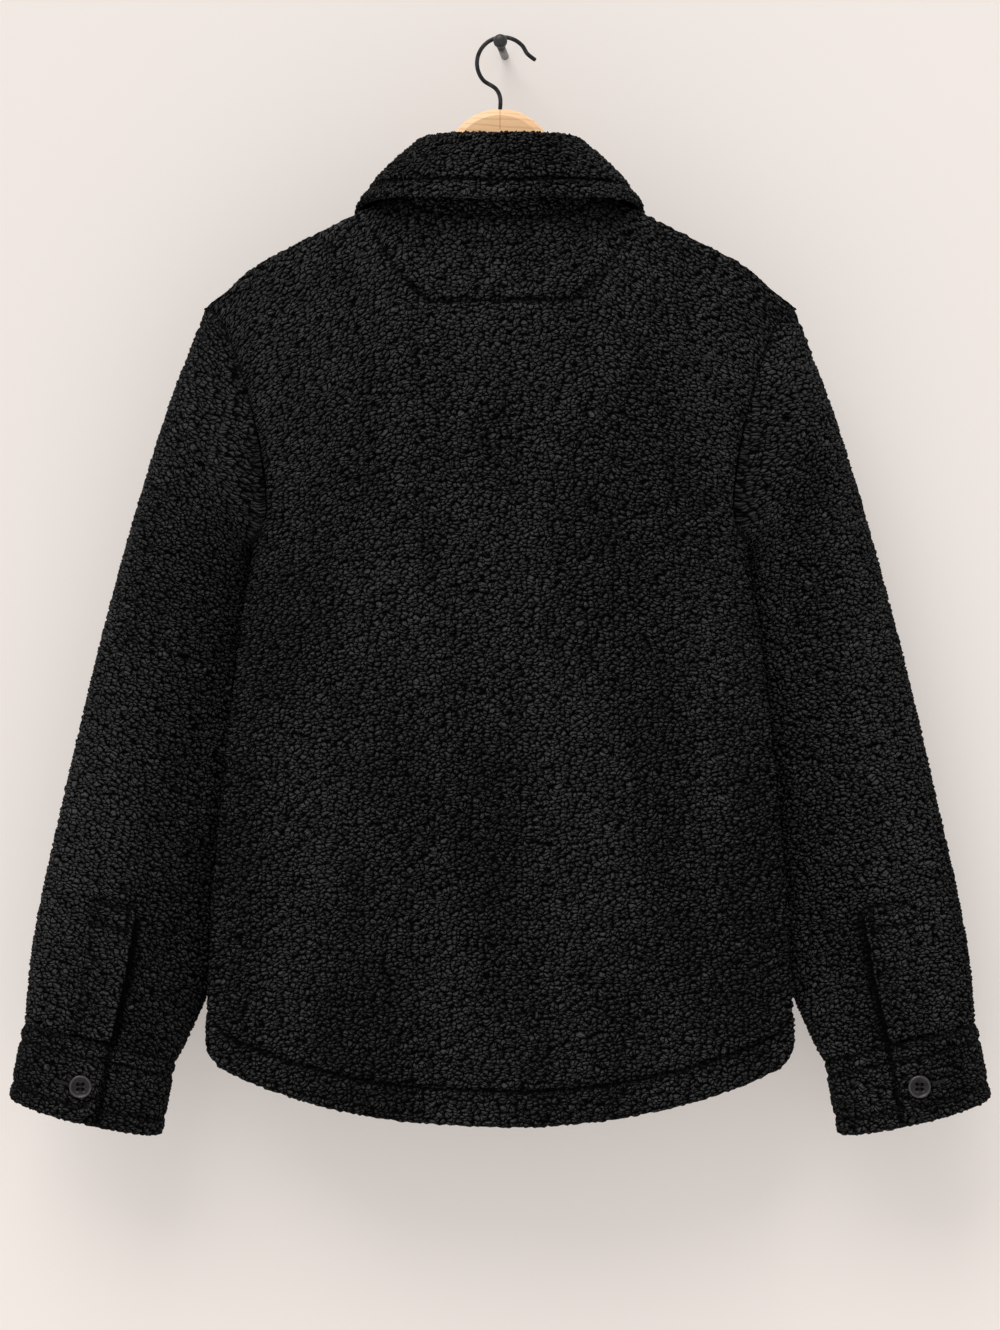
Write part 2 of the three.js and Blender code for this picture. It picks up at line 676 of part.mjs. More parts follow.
// Half of the wooden hanger: dome, arm under the shoulder cloth, rounded tip and arch.
function hangerHalf(side) {
  const armTop = (x) => {
    const slope = shoulderSlope + 2 * shoulderRound * Math.max(0, x - shoulderRoundX);
    const tip = tipDrop * clamp01((x - tipDropX) / (armReach - tipDropX));
    return shoulderLineZ(x) - (clothThickness + armGap) * Math.sqrt(1 + slope ** 2) - tip;
  };
  const outline = new THREE.Shape();
  outline.moveTo(halfGap, domeCentreZ + domeRadius - woodRounding);
  const [domeTop, domeFoot] = [radians(domeTopTurn), radians(domeFootTurn)];
  outline.absarc(0, domeCentreZ, domeRadius - woodRounding, domeTop, domeFoot, true);
  outline.quadraticCurveTo(domeRadius, armTop(domeRadius), armRootX, armTop(armRootX) - woodRounding);
  const tipX = armReach - armTipDepth / 2;
  const endX = armReach - woodRounding;
  for (let x = armStartX; x < tipX; x += armStep) {
    outline.lineTo(x, armTop(x) - woodRounding);
  }
  const tipZ = armTop(tipX);
  outline.lineTo(tipX, tipZ - woodRounding);
  outline.quadraticCurveTo(endX, tipZ - tipRound, endX, tipZ - armTipDepth * tipMiddle);
  outline.lineTo(tipX, tipZ - armTipDepth);
  outline.lineTo(armStartX, armTop(armStartX) - armRootDepth);
  outline.quadraticCurveTo(archEndX, archZ + woodRounding, halfGap, archZ + woodRounding);
  outline.closePath();
  const wood = new THREE.ExtrudeGeometry(outline, {
    depth: woodThickness - 2 * woodRounding,
    bevelThickness: woodRounding,
    bevelSize: woodRounding,
    bevelSegments: 2,
    curveSegments: 8,
  });
  wood.translate(0, 0, -woodThickness / 2 + woodRounding);
  wood.rotateX(Math.PI / 2);
  wood.scale(side, 1, 1);
  if (side < 0) {
    flipFaces(wood);
  }
  const bore = new THREE.CylinderGeometry(boreRadius, boreRadius, boreLength, boreSides);
  bore.rotateX(Math.PI / 2);
  bore.translate(0, 0, hookStemFoot - 1 + boreLength / 2);
  const otherHalf = new THREE.BoxGeometry(2 * armReach, 2 * armReach, 2 * armReach);
  otherHalf.translate(-side * (armReach - halfGap), 0, domeCentreZ);
  return geometryOf(solidOf(wood).subtract(solidOf(bore)).subtract(solidOf(otherHalf)));
}

// Turns every face of a mirrored geometry the right way out again.
function flipFaces(geometry) {
  const positions = geometry.attributes.position;
  for (let k = 0; k < positions.count; k += 3) {
    const kept = new THREE.Vector3().fromBufferAttribute(positions, k + 1);
    positions.setXYZ(k + 1, positions.getX(k + 2), positions.getY(k + 2), positions.getZ(k + 2));
    positions.setXYZ(k + 2, kept.x, kept.y, kept.z);
  }
}

// The hook: a stem, most of a circle over the top, and a tip that flares out.
function hookGeometry() {
  const centreZ = wireRadius - Math.sqrt(hookRadius ** 2 - hookCentreX ** 2);
  const points = [
    { x: 0, z: hookStemFoot },
    { x: 0, z: (hookStemFoot + hookStemZ) / 2 },
    { x: 0, z: hookStemZ },
    hookBend,
  ];
  for (let degrees = hookTurnStart; degrees >= hookTurnEnd; degrees -= hookTurnStep) {
    const angle = radians(degrees);
    const [sidewards, upwards] = [hookRadius * Math.cos(angle), hookRadius * Math.sin(angle)];
    points.push({ x: hookCentreX + sidewards, z: centreZ + upwards });
  }
  points.push(hookFlare, hookTip);
  const route = new THREE.CatmullRomCurve3(points.map(({ x, z }) => new THREE.Vector3(x, 0, z)));
  const section = new THREE.Shape();
  section.absarc(0, 0, wireRadius, 0, 2 * Math.PI);
  return new THREE.ExtrudeGeometry(section, { steps: hookSteps, extrudePath: route, curveSegments: 4 });
}

const cloth = { color: 0x161616, roughness: 0.95, metalness: 0 };
const buttonFinish = { color: 0x2c2c2c, roughness: 0.35, metalness: 0 };
const wood = { color: 0xe0b183, roughness: 0.5, metalness: 0 };
const wire = { color: 0x2a2b2d, roughness: 0.35, metalness: 0.9 };

const jacket = new THREE.Group();

function addPiece(name, geometry, finish) {
  const mesh = new THREE.Mesh(geometry, new THREE.MeshStandardMaterial(finish));
  mesh.name = name;
  jacket.add(mesh);
  return mesh;
}

// Sets a button on a surface, its back just clear of the cloth.
function addButton(name, surface, u, v) {
  const step = 0.01;
  const point = surface(u, v);
  const across = surface(u + step, v).sub(point);
  const along = surface(u, v + step).sub(point);
  const direction = across.cross(along).normalize();
  const outward = point.clone().setX(0).setZ(0);
  if (direction.dot(outward) < 0) {
    direction.negate();
  }
  const button = addPiece(name, buttonGeometry(), buttonFinish);
  button.position.copy(point).addScaledVector(direction, buttonSeat);
  button.quaternion.setFromUnitVectors(new THREE.Vector3(0, 0, 1), direction);
}

addPiece('back', backPanel(), cloth);
addPiece('front_left', frontPanel(-1, bandHalfWidth, []), cloth);
addPiece('front_right', frontPanel(1, dipEndX, underlapTops), cloth);
addPiece('front_band', frontBand(), cloth);
addPiece('collar_stand', collarStand(), cloth);
addPiece('collar_fall', collarFall(), cloth);
[['left', -1], ['right', 1]].forEach(([name, side]) => {
  addPiece(`sleeve_${name}`, sleeve(side), cloth);
  addPiece(`sleeve_placket_${name}`, sleevePlacket(side), cloth);
  addPiece(`cuff_${name}`, cuff(side), cloth);
  const cuffSurface = (turn, across) => cuffPoint(side, turn, across);
  addButton(`cuff_button_${name}`, cuffSurface, cuffButtonTurn, cuffButtonAcross);
  addPiece(`hanger_${name}`, hangerHalf(side), wood);
});
addPiece('hook', hookGeometry(), wire);

// Buttons down the middle of the band, each at its height by halving the rows around it
const halvings = 30;
const bandSurface = (x, z) => {
  let low = 0;
  let high = bodyRows;
  for (let k = 0; k < halvings; k += 1) {
    const middle = (low + high) / 2;
    if (bodyPoint(true, x, middle).z > z) {
      low = middle;
    } else {
      high = middle;
    }
  }
  return bodyPoint(true, x, low).add(new THREE.Vector3(0, bandProud, 0));
};
for (let k = 0; k < frontButtonCount; k += 1) {
  const z = mix(firstButtonZ, lastButtonZ, k / (frontButtonCount - 1));
  addButton(`front_button_${k + 1}`, bandSurface, 0, z);
}

export default jacket;
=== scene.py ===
import math
import bmesh
import bpy
import numpy as np
from mathutils import Matrix, Vector


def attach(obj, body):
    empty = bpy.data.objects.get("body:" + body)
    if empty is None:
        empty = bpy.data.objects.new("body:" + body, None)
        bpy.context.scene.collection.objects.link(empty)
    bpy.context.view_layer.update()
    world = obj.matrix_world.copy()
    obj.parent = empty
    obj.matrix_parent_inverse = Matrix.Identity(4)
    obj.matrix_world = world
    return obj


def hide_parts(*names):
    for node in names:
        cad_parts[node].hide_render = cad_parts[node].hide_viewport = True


# A black pile fleece shirt jacket on a wooden hanger, seen from its back.
# Shapes are worked out in millimetres and turned into metres when a mesh is made.

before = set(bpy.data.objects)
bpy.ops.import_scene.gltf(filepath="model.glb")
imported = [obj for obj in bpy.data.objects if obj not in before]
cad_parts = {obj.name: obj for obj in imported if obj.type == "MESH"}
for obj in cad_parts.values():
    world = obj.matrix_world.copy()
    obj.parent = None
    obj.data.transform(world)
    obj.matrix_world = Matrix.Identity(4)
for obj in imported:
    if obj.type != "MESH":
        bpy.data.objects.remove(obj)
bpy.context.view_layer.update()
toMetres = 0.001
scene = bpy.context.scene
sides = (("left", -1), ("right", 1))


def mix(start, end, share):
    return start + (end - start) * share


def clamp01(value):
    return np.clip(value, 0.0, 1.0)


def smooth(value):
    value = clamp01(value)
    return value * value * (3 - 2 * value)


def point(x, y, z):
    x, y, z = np.broadcast_arrays(x, y, z)
    return np.stack([x, y, z], axis=-1).astype(float)


def unit(vectors):
    length = np.linalg.norm(vectors, axis=-1, keepdims=True)
    return vectors / np.maximum(length, 1e-9)


def dot(a, b):
    return (a * b).sum(axis=-1, keepdims=True)


# Reads a falling table (place, value) anywhere between its rows
def fallingTable(rows, place):
    places = [-row[0] for row in rows]
    return np.interp(-np.asarray(place, float), places, [row[1] for row in rows])


# A smooth line through points, read at shares from 0 to 1
def smoothLine(points, share):
    points = np.asarray(points, float)
    count = len(points)
    place = np.clip(np.asarray(share, float), 0, 1) * (count - 1)
    index = np.minimum(np.floor(place).astype(int), count - 2)
    weight = (place - index)[..., None]
    padded = np.vstack([2 * points[0] - points[1], points, 2 * points[-1] - points[-2]])
    p0, p1, p2, p3 = (padded[index + k] for k in range(4))
    step = [np.sqrt(np.linalg.norm(b - a, axis=-1, keepdims=True)) for a, b in ((p0, p1), (p1, p2), (p2, p3))]
    step = [np.maximum(s, 1e-4) for s in step]
    start = (p1 - p0) / step[0] - (p2 - p0) / (step[0] + step[1]) + (p2 - p1) / step[1]
    end = (p2 - p1) / step[1] - (p3 - p1) / (step[1] + step[2]) + (p3 - p2) / step[2]
    start, end = start * step[1], end * step[1]
    cubic = 2 * p1 - 2 * p2 + start + end
    square = -3 * p1 + 3 * p2 - 2 * start - end
    return ((cubic * weight + square) * weight + start) * weight + p1


# Places at which a line drawn by curveAt(place) has evenly spaced points
def evenPlaces(curveAt, places, count):
    line = curveAt(places)
    length = np.concatenate([[0], np.cumsum(np.linalg.norm(np.diff(line, axis=0), axis=1))])
    return np.interp(np.linspace(0, length[-1], count), length, places)


seams = {"gap": 0.3, "underarmGap": 2.3}
halfGap = seams["gap"] / 2
cloth = {"single": 4.0, "doubled": 6.0, "hem": 7.0, "hemFrom": 24.0, "hemFade": 8.0}

bodyCut = {
    "shoulderX": 236.0, "neckHalfWidth": 80.0, "neckPointZ": -120.0,
    "shoulderSlope": 0.49, "shoulderRoundX": 185.0, "shoulderRound": 0.0075,
    "backNeckZ": -139.0, "backNeckDepth": 45.0,
    "frontNeckDrop": 88.0, "frontNeckDepth": 42.0, "frontNeckPower": 1.8,
    "underarmX": 197.0, "underarmZ": -400.0, "armholeHalfDepth": 38.0, "armholeBow": 20.0,
    "hemCentreZ": -863.0, "hemRise": 48.0, "hemRiseX": 232.0, "hemPower": 2.2,
    "hemCornerX": 222.0, "hemCornerReach": 16.0, "hemCornerRise": 14.0, "hemHalfWidth": 238.0,
    "settle": 150.0, "armholeRows": 9.0, "bodyRows": 21.0, "ridgeRows": 1.3,
    # powers of the share of the way from the middle to the side
    "sidePower": 4, "ridgePower": 8, "foldPower": 6, "backNeckPower": 4, "roundPower": 0.5, "sideShare": 0.999,
    "sideEdge": [(-400, 197), (-464, 208), (-568, 220), (-688, 232), (-804, 238)],
    "halfDepth": [(-130, 46), (-300, 50), (-500, 52), (-700, 49), (-866, 45)],
}
# Soft folds of the hanging cloth: x and z of the top and foot, half widths there, and height
backFolds = [
    (-16, -360, -38, -880, 22, 44, -8), (84, -262, 146, -800, 24, 34, -8), (-126, -320, -172, -800, 26, 34, -6),
    (32, -280, 26, -900, 24, 36, 6), (-74, -480, -108, -840, 24, 34, 6), (168, -470, 204, -840, 22, 26, 5),
]
frontFolds = [
    (-92, -300, -128, -880, 26, 38, -7), (98, -280, 132, -880, 26, 36, -7), (-58, -420, -74, -900, 20, 30, 5),
    (60, -440, 78, -900, 20, 30, 5), (-160, -430, -196, -830, 24, 28, 5), (158, -450, 194, -830, 24, 28, 5),
]
foldEnds = {"risesOver": 0.35, "fadesAt": 1.15, "fadesOver": 0.2}  # shares of a fold's length


def shoulderLineZ(x):
    b = bodyCut
    rounding = b["shoulderRound"] * np.maximum(0, x - b["shoulderRoundX"]) ** 2
    return b["neckPointZ"] - b["shoulderSlope"] * (x - b["neckHalfWidth"]) - rounding


def hemLineZ(x):
    b = bodyCut
    corner = b["hemCornerRise"] * clamp01((x - b["hemCornerX"]) / b["hemCornerReach"]) ** 2
    return b["hemCentreZ"] + b["hemRise"] * (x / b["hemRiseX"]) ** b["hemPower"] + corner


shoulderPointZ = float(shoulderLineZ(bodyCut["shoulderX"]))
hemSideZ = float(hemLineZ(bodyCut["hemHalfWidth"]))


# The top line of a panel: the shoulder seam, then the neck seam
def topLine(front, x):
    b = bodyCut
    bend = np.sqrt(np.maximum(0, 1 - (x / b["neckHalfWidth"]) ** 2))
    onShoulder = x >= b["neckHalfWidth"]
    if front:
        neckY = b["frontNeckDepth"] * bend
        neckZ = b["neckPointZ"] - b["frontNeckDrop"] * bend ** b["frontNeckPower"]
    else:
        neckY = b["backNeckDepth"] * bend
        neckZ = mix(b["backNeckZ"], b["neckPointZ"], (x / b["neckHalfWidth"]) ** b["backNeckPower"])
    return np.where(onShoulder, halfGap, neckY + halfGap), np.where(onShoulder, shoulderLineZ(x), neckZ)


# The side of a panel from the shoulder point down: the armhole, then the side seam to the hem
def panelSide(row):
    b = bodyCut
    angle = np.pi * np.clip(row / b["armholeRows"], 0, 1)
    share = (1 - np.cos(angle)) / 2
    armholeX = mix(b["shoulderX"], b["underarmX"], share) - b["armholeBow"] * np.sin(angle)
    armholeZ = mix(shoulderPointZ, b["underarmZ"], share)
    below = (row - b["armholeRows"]) / (b["bodyRows"] - b["armholeRows"])
    sideZ = mix(b["underarmZ"], hemSideZ, below)
    onArmhole = row <= b["armholeRows"]
    x = np.where(onArmhole, armholeX, fallingTable(b["sideEdge"], sideZ))
    y = np.where(onArmhole, b["armholeHalfDepth"] * np.sin(angle), 0)
    return x, y, np.where(onArmhole, armholeZ, sideZ)


# How far the hanging folds lift the cloth at a place of the body
def foldHeight(folds, x, z):
    total = np.zeros(np.broadcast(x, z).shape)
    for topX, topZ, footX, footZ, topWidth, footWidth, height in folds:
        along = (topZ - z) / (topZ - footZ)
        width = mix(topWidth, footWidth, clamp01(along))
        rise = smooth(along / foldEnds["risesOver"])
        fade = smooth((foldEnds["fadesAt"] - along) / foldEnds["fadesOver"])
        across = (x - mix(topX, footX, along)) / width
        total = total + height * (rise * fade) * np.exp(-(across ** 2))
    return total


# A point of the hanging body, at a distance x from the middle and a row down from the top line
def bodyPoint(front, x, row):
    b = bodyCut
    sideX, sideY, sideZ = panelSide(row)
    share = np.minimum(1, np.abs(x) / sideX)
    topY, topZ = topLine(front, share * b["shoulderX"])
    hemZ = hemLineZ(share * b["hemHalfWidth"])
    sideDown = (sideZ - shoulderPointZ) / (hemSideZ - shoulderPointZ)
    z = mix(topZ, hemZ, mix(row / b["bodyRows"], sideDown, share ** b["sidePower"]))
    edgePower = mix(1, b["roundPower"], clamp01(row / b["armholeRows"]))
    fullness = (1 - share ** b["sidePower"]) ** edgePower
    depth = mix(sideY, fallingTable(b["halfDepth"], z), fullness)
    drop = clamp01((topZ - z) / b["settle"])
    settlePower = mix(1, b["roundPower"], clamp01(share * b["shoulderX"] / b["neckHalfWidth"]) ** 2)
    nearArmhole = share ** b["ridgePower"] * clamp01(row / b["ridgeRows"])
    settle = mix((1 - (1 - drop) ** 2) ** settlePower, 1, nearArmhole)
    fold = foldHeight(frontFolds if front else backFolds, x, z) * (1 - share ** b["foldPower"])
    depthHere = np.where(share > b["sideShare"], sideY, mix(topY, depth, settle) + fold)
    y = np.maximum(halfGap, depthHere)
    return point(x, y if front else -y, z)


# Directions square to a grid of points, on the side that faces towards
def outward(points, wrap, towards):
    down = np.gradient(points, axis=0)
    if wrap:
        across = np.roll(points, -1, axis=1) - np.roll(points, 1, axis=1)
    else:
        across = np.gradient(points, axis=1)
    directions = unit(np.cross(down, across))
    return directions if (directions * towards).sum() > 0 else -directions


# Distance of each point of a grid from one of its edges, measured along the cloth
def fromEdge(points, edge):
    axis = 0 if edge in ("top", "foot") else 1
    steps = np.linalg.norm(np.diff(points, axis=axis), axis=-1)
    first = np.zeros_like(np.take(steps, [0], axis))
    length = np.cumsum(np.concatenate([first, steps], axis=axis), axis=axis)
    return length if edge in ("top", "start") else np.take(length, [-1], axis) - length


# Distance in the plane of the photograph from a line of (x, z) points
def fromLine(points, line):
    place = points[..., [0, 2]]
    nearest = np.full(place.shape[:2], 1e9)
    for a, b in zip(line[:-1], line[1:]):
        a, b = np.array(a, float), np.array(b, float)
        share = clamp01(((place - a) * (b - a)).sum(-1) / ((b - a) ** 2).sum())
        nearest = np.minimum(nearest, np.linalg.norm(place - (a + share[..., None] * (b - a)), axis=-1))
    return nearest


seamRoll = {"dip": 4.2, "width": 6.0, "shade": 0.9, "shadeWidth": 3.2, "cornerShare": 0.1, "cornerReach": 26.0}
stitchPress = {"depth": 3.2, "width": 2.2}


# 1 along the seams, and less near the shoulder point and the underarm, where they lie flatter
def offCorners(points):
    share = 1.0
    for x, z in ((bodyCut["shoulderX"], shoulderPointZ), (bodyCut["underarmX"], bodyCut["underarmZ"])):
        corner = np.stack([np.abs(points[..., 0]) - x, points[..., 2] - z], axis=-1)
        away = smooth(np.linalg.norm(corner, axis=-1) / seamRoll["cornerReach"])
        share = share * mix(seamRoll["cornerShare"], 1, away)
    return share


# Lowers a grid towards its sewn edges
def dipSeams(points, normals, edges, dip=None):
    dip = seamRoll["dip"] if dip is None else dip
    lowered = sum(np.exp(-(fromEdge(points, edge) / seamRoll["width"]) ** 2) for edge in edges)
    return points - normals * (dip * np.minimum(lowered, 1) * offCorners(points))[..., None]


# Presses the pile flat along sewn edges, and paints shade in the seams there
def sewnShade(points, edges):
    near = sum(np.exp(-(fromEdge(points, edge) / seamRoll["shadeWidth"]) ** 2) for edge in edges)
    return seamRoll["shade"] * np.minimum(1, near) * offCorners(points)


# How far a line of stitches presses the cloth down at a distance from it, from 0 to 1
def stitchAt(distance, offset=0.0):
    return np.exp(-((distance - offset) / stitchPress["width"]) ** 2)


# Joins two loops that run side by side, whose points are numbered and have places along the way
def zipLoops(first, second, firstPlaces, secondPlaces):
    faces = []
    i = j = 0
    while i < len(first) - 1 or j < len(second) - 1:
        nextFirst = firstPlaces[i + 1] if i < len(first) - 1 else 1e9
        nextSecond = secondPlaces[j + 1] if j < len(second) - 1 else 1e9
        if nextFirst <= nextSecond:
            faces.append((first[i], first[i + 1], second[j]))
            i += 1
        else:
            faces.append((first[i], second[j + 1], second[j]))
            j += 1
    return faces


# The numbers of a grid's outer points in order, with a place from 0 to 4 for each
def gridLoop(rows, columns, first, wrap):
    number = first + np.arange(rows * columns).reshape(rows, columns)
    if wrap:
        places = np.append(np.arange(columns) / columns, 1)
        return [(np.append(number[k], number[k][0]), places) for k in (0, -1)]
    sides = [number[0, :-1], number[:-1, -1], number[-1, :0:-1], number[:0:-1, 0], number[0, :1]]
    places = [k + np.arange(len(side)) / len(side) for k, side in enumerate(sides[:4])] + [[4]]
    return [(np.concatenate(sides), np.concatenate(places))]


# The faces of a grid whose points are numbered from first
def gridQuads(rows, columns, first, wrap):
    number = first + np.arange(rows * columns).reshape(rows, columns)
    if wrap:
        number = np.hstack([number, number[:, :1]])
    a, b, c, d = number[:-1, :-1], number[:-1, 1:], number[1:, 1:], number[1:, :-1]
    return np.stack([a.ravel(), b.ravel(), c.ravel(), d.ravel()], axis=1)


# Directions that lead off the cloth at each point of the grid's edges
def offCloth(points, normals, wrap):
    result = np.zeros_like(points)
    result[0] += unit(points[0] - points[1])
    result[-1] += unit(points[-1] - points[-2])
    if not wrap:
        result[:, 0] += unit(points[:, 0] - points[:, 1])
        result[:, -1] += unit(points[:, -1] - points[:, -2])
    return unit(result - normals * dot(result, normals))


# Share of a full round edge on each side of the cloth: 1 is a free edge, less is sewn to a neighbour
def edgeReach(rows, columns, reach):
    amounts = np.ones((rows, columns))
    amounts[0] = reach.get("top", 1)
    amounts[-1] = reach.get("foot", 1)
    amounts[1:-1, 0] = reach.get("start", 1)
    amounts[1:-1, -1] = reach.get("end", 1)
    return amounts


# How the pile coordinates change for each millimetre off the edges of the cloth
def edgeDrift(points, coords, wrap):
    result = np.zeros_like(coords)

    def add(edge, inside):
        apart = np.linalg.norm(points[edge] - points[inside], axis=-1, keepdims=True)
        result[edge] += (coords[edge] - coords[inside]) / np.maximum(apart, rim["leastStep"])
    add(np.s_[0], np.s_[1])
    add(np.s_[-1], np.s_[-2])
    if not wrap:
        add(np.s_[:, 0], np.s_[:, 1])
        add(np.s_[:, -1], np.s_[:, -2])
    return result


# sewn and bandTop are shares of a full round edge, outerShare is how much of the round carries pile
rim = {"steps": 5, "outerShare": 0.7, "sewn": 0.3, "bandTop": 0.5, "leastStep": 0.1}


# Rows or columns of an outer grid that the coarser inner face keeps
def innerPicks(count, innerStep):
    return np.unique(np.round(np.linspace(1, count - 2, max(2, count // innerStep))).astype(int))


# A closed cloth body from a fine outer grid: rounded edges all round, and a coarser inner face.
# pile holds the pile coordinates of each point, and the next mark how far the pile there is pressed flat and
# how much painted shade darkens it; the raised pile and the material read them.
def makeCloth(name, points, normals, thickness, pile, pressedAndShade, wrap=False, reach=None, innerStep=3,
              clampInner=None):
    rows, columns = points.shape[:2]
    thickness = np.broadcast_to(np.asarray(thickness, float), (rows, columns))
    half = (thickness / 2).reshape(-1, 1)
    off = (offCloth(points, normals, wrap) * edgeReach(rows, columns, reach or {})[..., None]).reshape(-1, 3)
    inner = points - normals * thickness[..., None]
    if clampInner is not None:
        inner = clampInner(inner)
    outerFlat, innerFlat = points.reshape(-1, 3), inner.reshape(-1, 3)
    marks = {"pileCoords": pile.reshape(rows * columns, 3), "pressedAndShade": pressedAndShade.reshape(rows * columns, 1)}
    vertices = [outerFlat]
    values = {key: [grid] for key, grid in marks.items()}
    quads = [gridQuads(rows, columns, 0, wrap)]
    triangles = []

    rowPicks = innerPicks(rows, innerStep)
    columnPicks = np.arange(0, columns, innerStep) if wrap else innerPicks(columns, innerStep)
    picks = (rowPicks[:, None] * columns + columnPicks).ravel()
    innerStart = rows * columns
    count = innerStart + len(picks)
    vertices.append(innerFlat[picks])
    for key, grid in marks.items():
        values[key].append(grid[picks])
    quads.append(gridQuads(len(rowPicks), len(columnPicks), innerStart, wrap)[:, ::-1])
    isInner = [np.zeros(innerStart), np.ones(len(picks))]

    outerLoops = gridLoop(rows, columns, 0, wrap)
    innerLoops = gridLoop(len(rowPicks), len(columnPicks), innerStart, wrap)
    drift = edgeDrift(points, pile, wrap).reshape(-1, 3)
    for (outerLoop, places), (innerLoop, innerPlaces) in zip(outerLoops, innerLoops):
        ids = outerLoop[:-1]
        centre = (outerFlat[ids] + innerFlat[ids]) / 2
        up = outerFlat[ids] - centre
        aside = off[ids] * half[ids]
        before = outerLoop
        strips = []
        for step in range(1, rim["steps"] + 1):
            angle = math.pi * step / rim["steps"]
            vertices.append(centre + up * math.cos(angle) + aside * math.sin(angle))
            values["pileCoords"].append(marks["pileCoords"][ids] + drift[ids] * half[ids] * angle)
            values["pressedAndShade"].append(marks["pressedAndShade"][ids])
            isInner.append(np.full(len(ids), float(step > rim["steps"] * rim["outerShare"])))
            after = np.append(np.arange(count, count + len(ids)), count)
            strips.append(np.stack([before[:-1], after[:-1], after[1:], before[1:]], axis=1))
            before = after
            count += len(ids)
        quads.append(np.vstack(strips))
        triangles.append(np.array(zipLoops(before, innerLoop, places, innerPlaces)))
    values["innerFace"] = [np.concatenate(isInner)[:, None]]
    return buildMesh(name, np.vstack(vertices), np.vstack(quads), np.vstack(triangles),
                     {key: np.vstack(parts) for key, parts in values.items()})


# Makes a mesh object with its faces turned outwards and its marks as attributes
def buildMesh(name, vertices, quads, triangles, marks):
    faces = quads.tolist() + triangles.tolist()
    mesh = bpy.data.meshes.new(name)
    mesh.from_pydata((vertices * toMetres).tolist(), [], faces)
    work = bmesh.new()
    work.from_mesh(mesh)
    bmesh.ops.recalc_face_normals(work, faces=work.faces)
    work.to_mesh(mesh)
    work.free()
    mesh.shade_smooth()
    for key, grid in marks.items():
        kind, field = ("FLOAT_VECTOR", "vector") if grid.shape[1] == 3 else ("FLOAT", "value")
        layer = mesh.attributes.new(key, kind, "POINT")
        layer.data.foreach_set(field, grid.astype(np.float32).ravel())
    piece = bpy.data.objects.new(name, mesh)
    scene.collection.objects.link(piece)
    return piece


# Where each piece lies in the field of nubs, in millimetres, so that no two show the same ones
pileLay = {
    "back": 0, "front": 600, "band": 1400, "sleeve": 2200, "cuff": (3300, -700), "placket": (4100, -500),
    "stand": 5000, "fall": 6000, "slopeFades": 420,
}


# Pile coordinates: across the cloth and down it. They follow the shoulders' slope at the top.
def bodyPile(points, shift):
    x, z = points[..., 0], points[..., 2]
    slope = shoulderLineZ(np.maximum(np.abs(x), bodyCut["neckHalfWidth"]))
    follow = 1 - smooth((slope - z) / pileLay["slopeFades"])
    down = z - (slope - bodyCut["neckPointZ"]) * follow
    return point(x + shift, down, 0)


panelGrid = {
    "backColumns": 206, "backRows": 410, "frontColumns": 92, "frontRows": 350, "underlapColumns": 18,
    "bandColumns": 22, "bandRows": 330, "topSteps": 60, "rowSteps": 400, "bandSteps": 3000,
    # the grid lines are evenly spaced along this row, and along this share of the way to the side
    "spacedRow": 12.0, "spacedShare": 0.6, "lastShare": 0.9985, "backSteps": 600, "frontSteps": 500,
}


# Rows of a panel, spaced evenly down the cloth at a share of the way to its side
def panelRows(front, share, count):
    top = np.linspace(0, 1, panelGrid["topSteps"]) ** 3
    dense = np.concatenate([top, np.linspace(1, bodyCut["bodyRows"], panelGrid["rowSteps"])[1:]])
    return evenPlaces(lambda rows: bodyPoint(front, share * panelSide(rows)[0], rows), dense, count)


# The inner face of a panel stays on its own side of the shoulder and side seams
def insidePanel(front):
    def clampInner(inner):
        inner = inner.copy()
        y = inner[..., 1]
        inner[..., 1] = np.maximum(halfGap, y) if front else np.minimum(-halfGap, y)
        return inner
    return clampInner


# Thicker in the turned hem than above it
def clothThickness(points):
    aboveHem = smooth((fromEdge(points, "foot") - cloth["hemFrom"]) / cloth["hemFade"])
    return mix(cloth["hem"], cloth["single"], aboveHem)


backStitches = {
    "hemAbove": 25.0,
    # x and z along the stitches of the neck patch
    "patch": [(-100, -156), (-87, -180), (-73, -197.5), (-56, -212), (58, -211), (73, -197.5), (87, -180),
              (102, -156)],
    "patchBreadth": 1.2, "neckShade": 1.0, "neckReach": 7.5, "neckFade": 12,
}


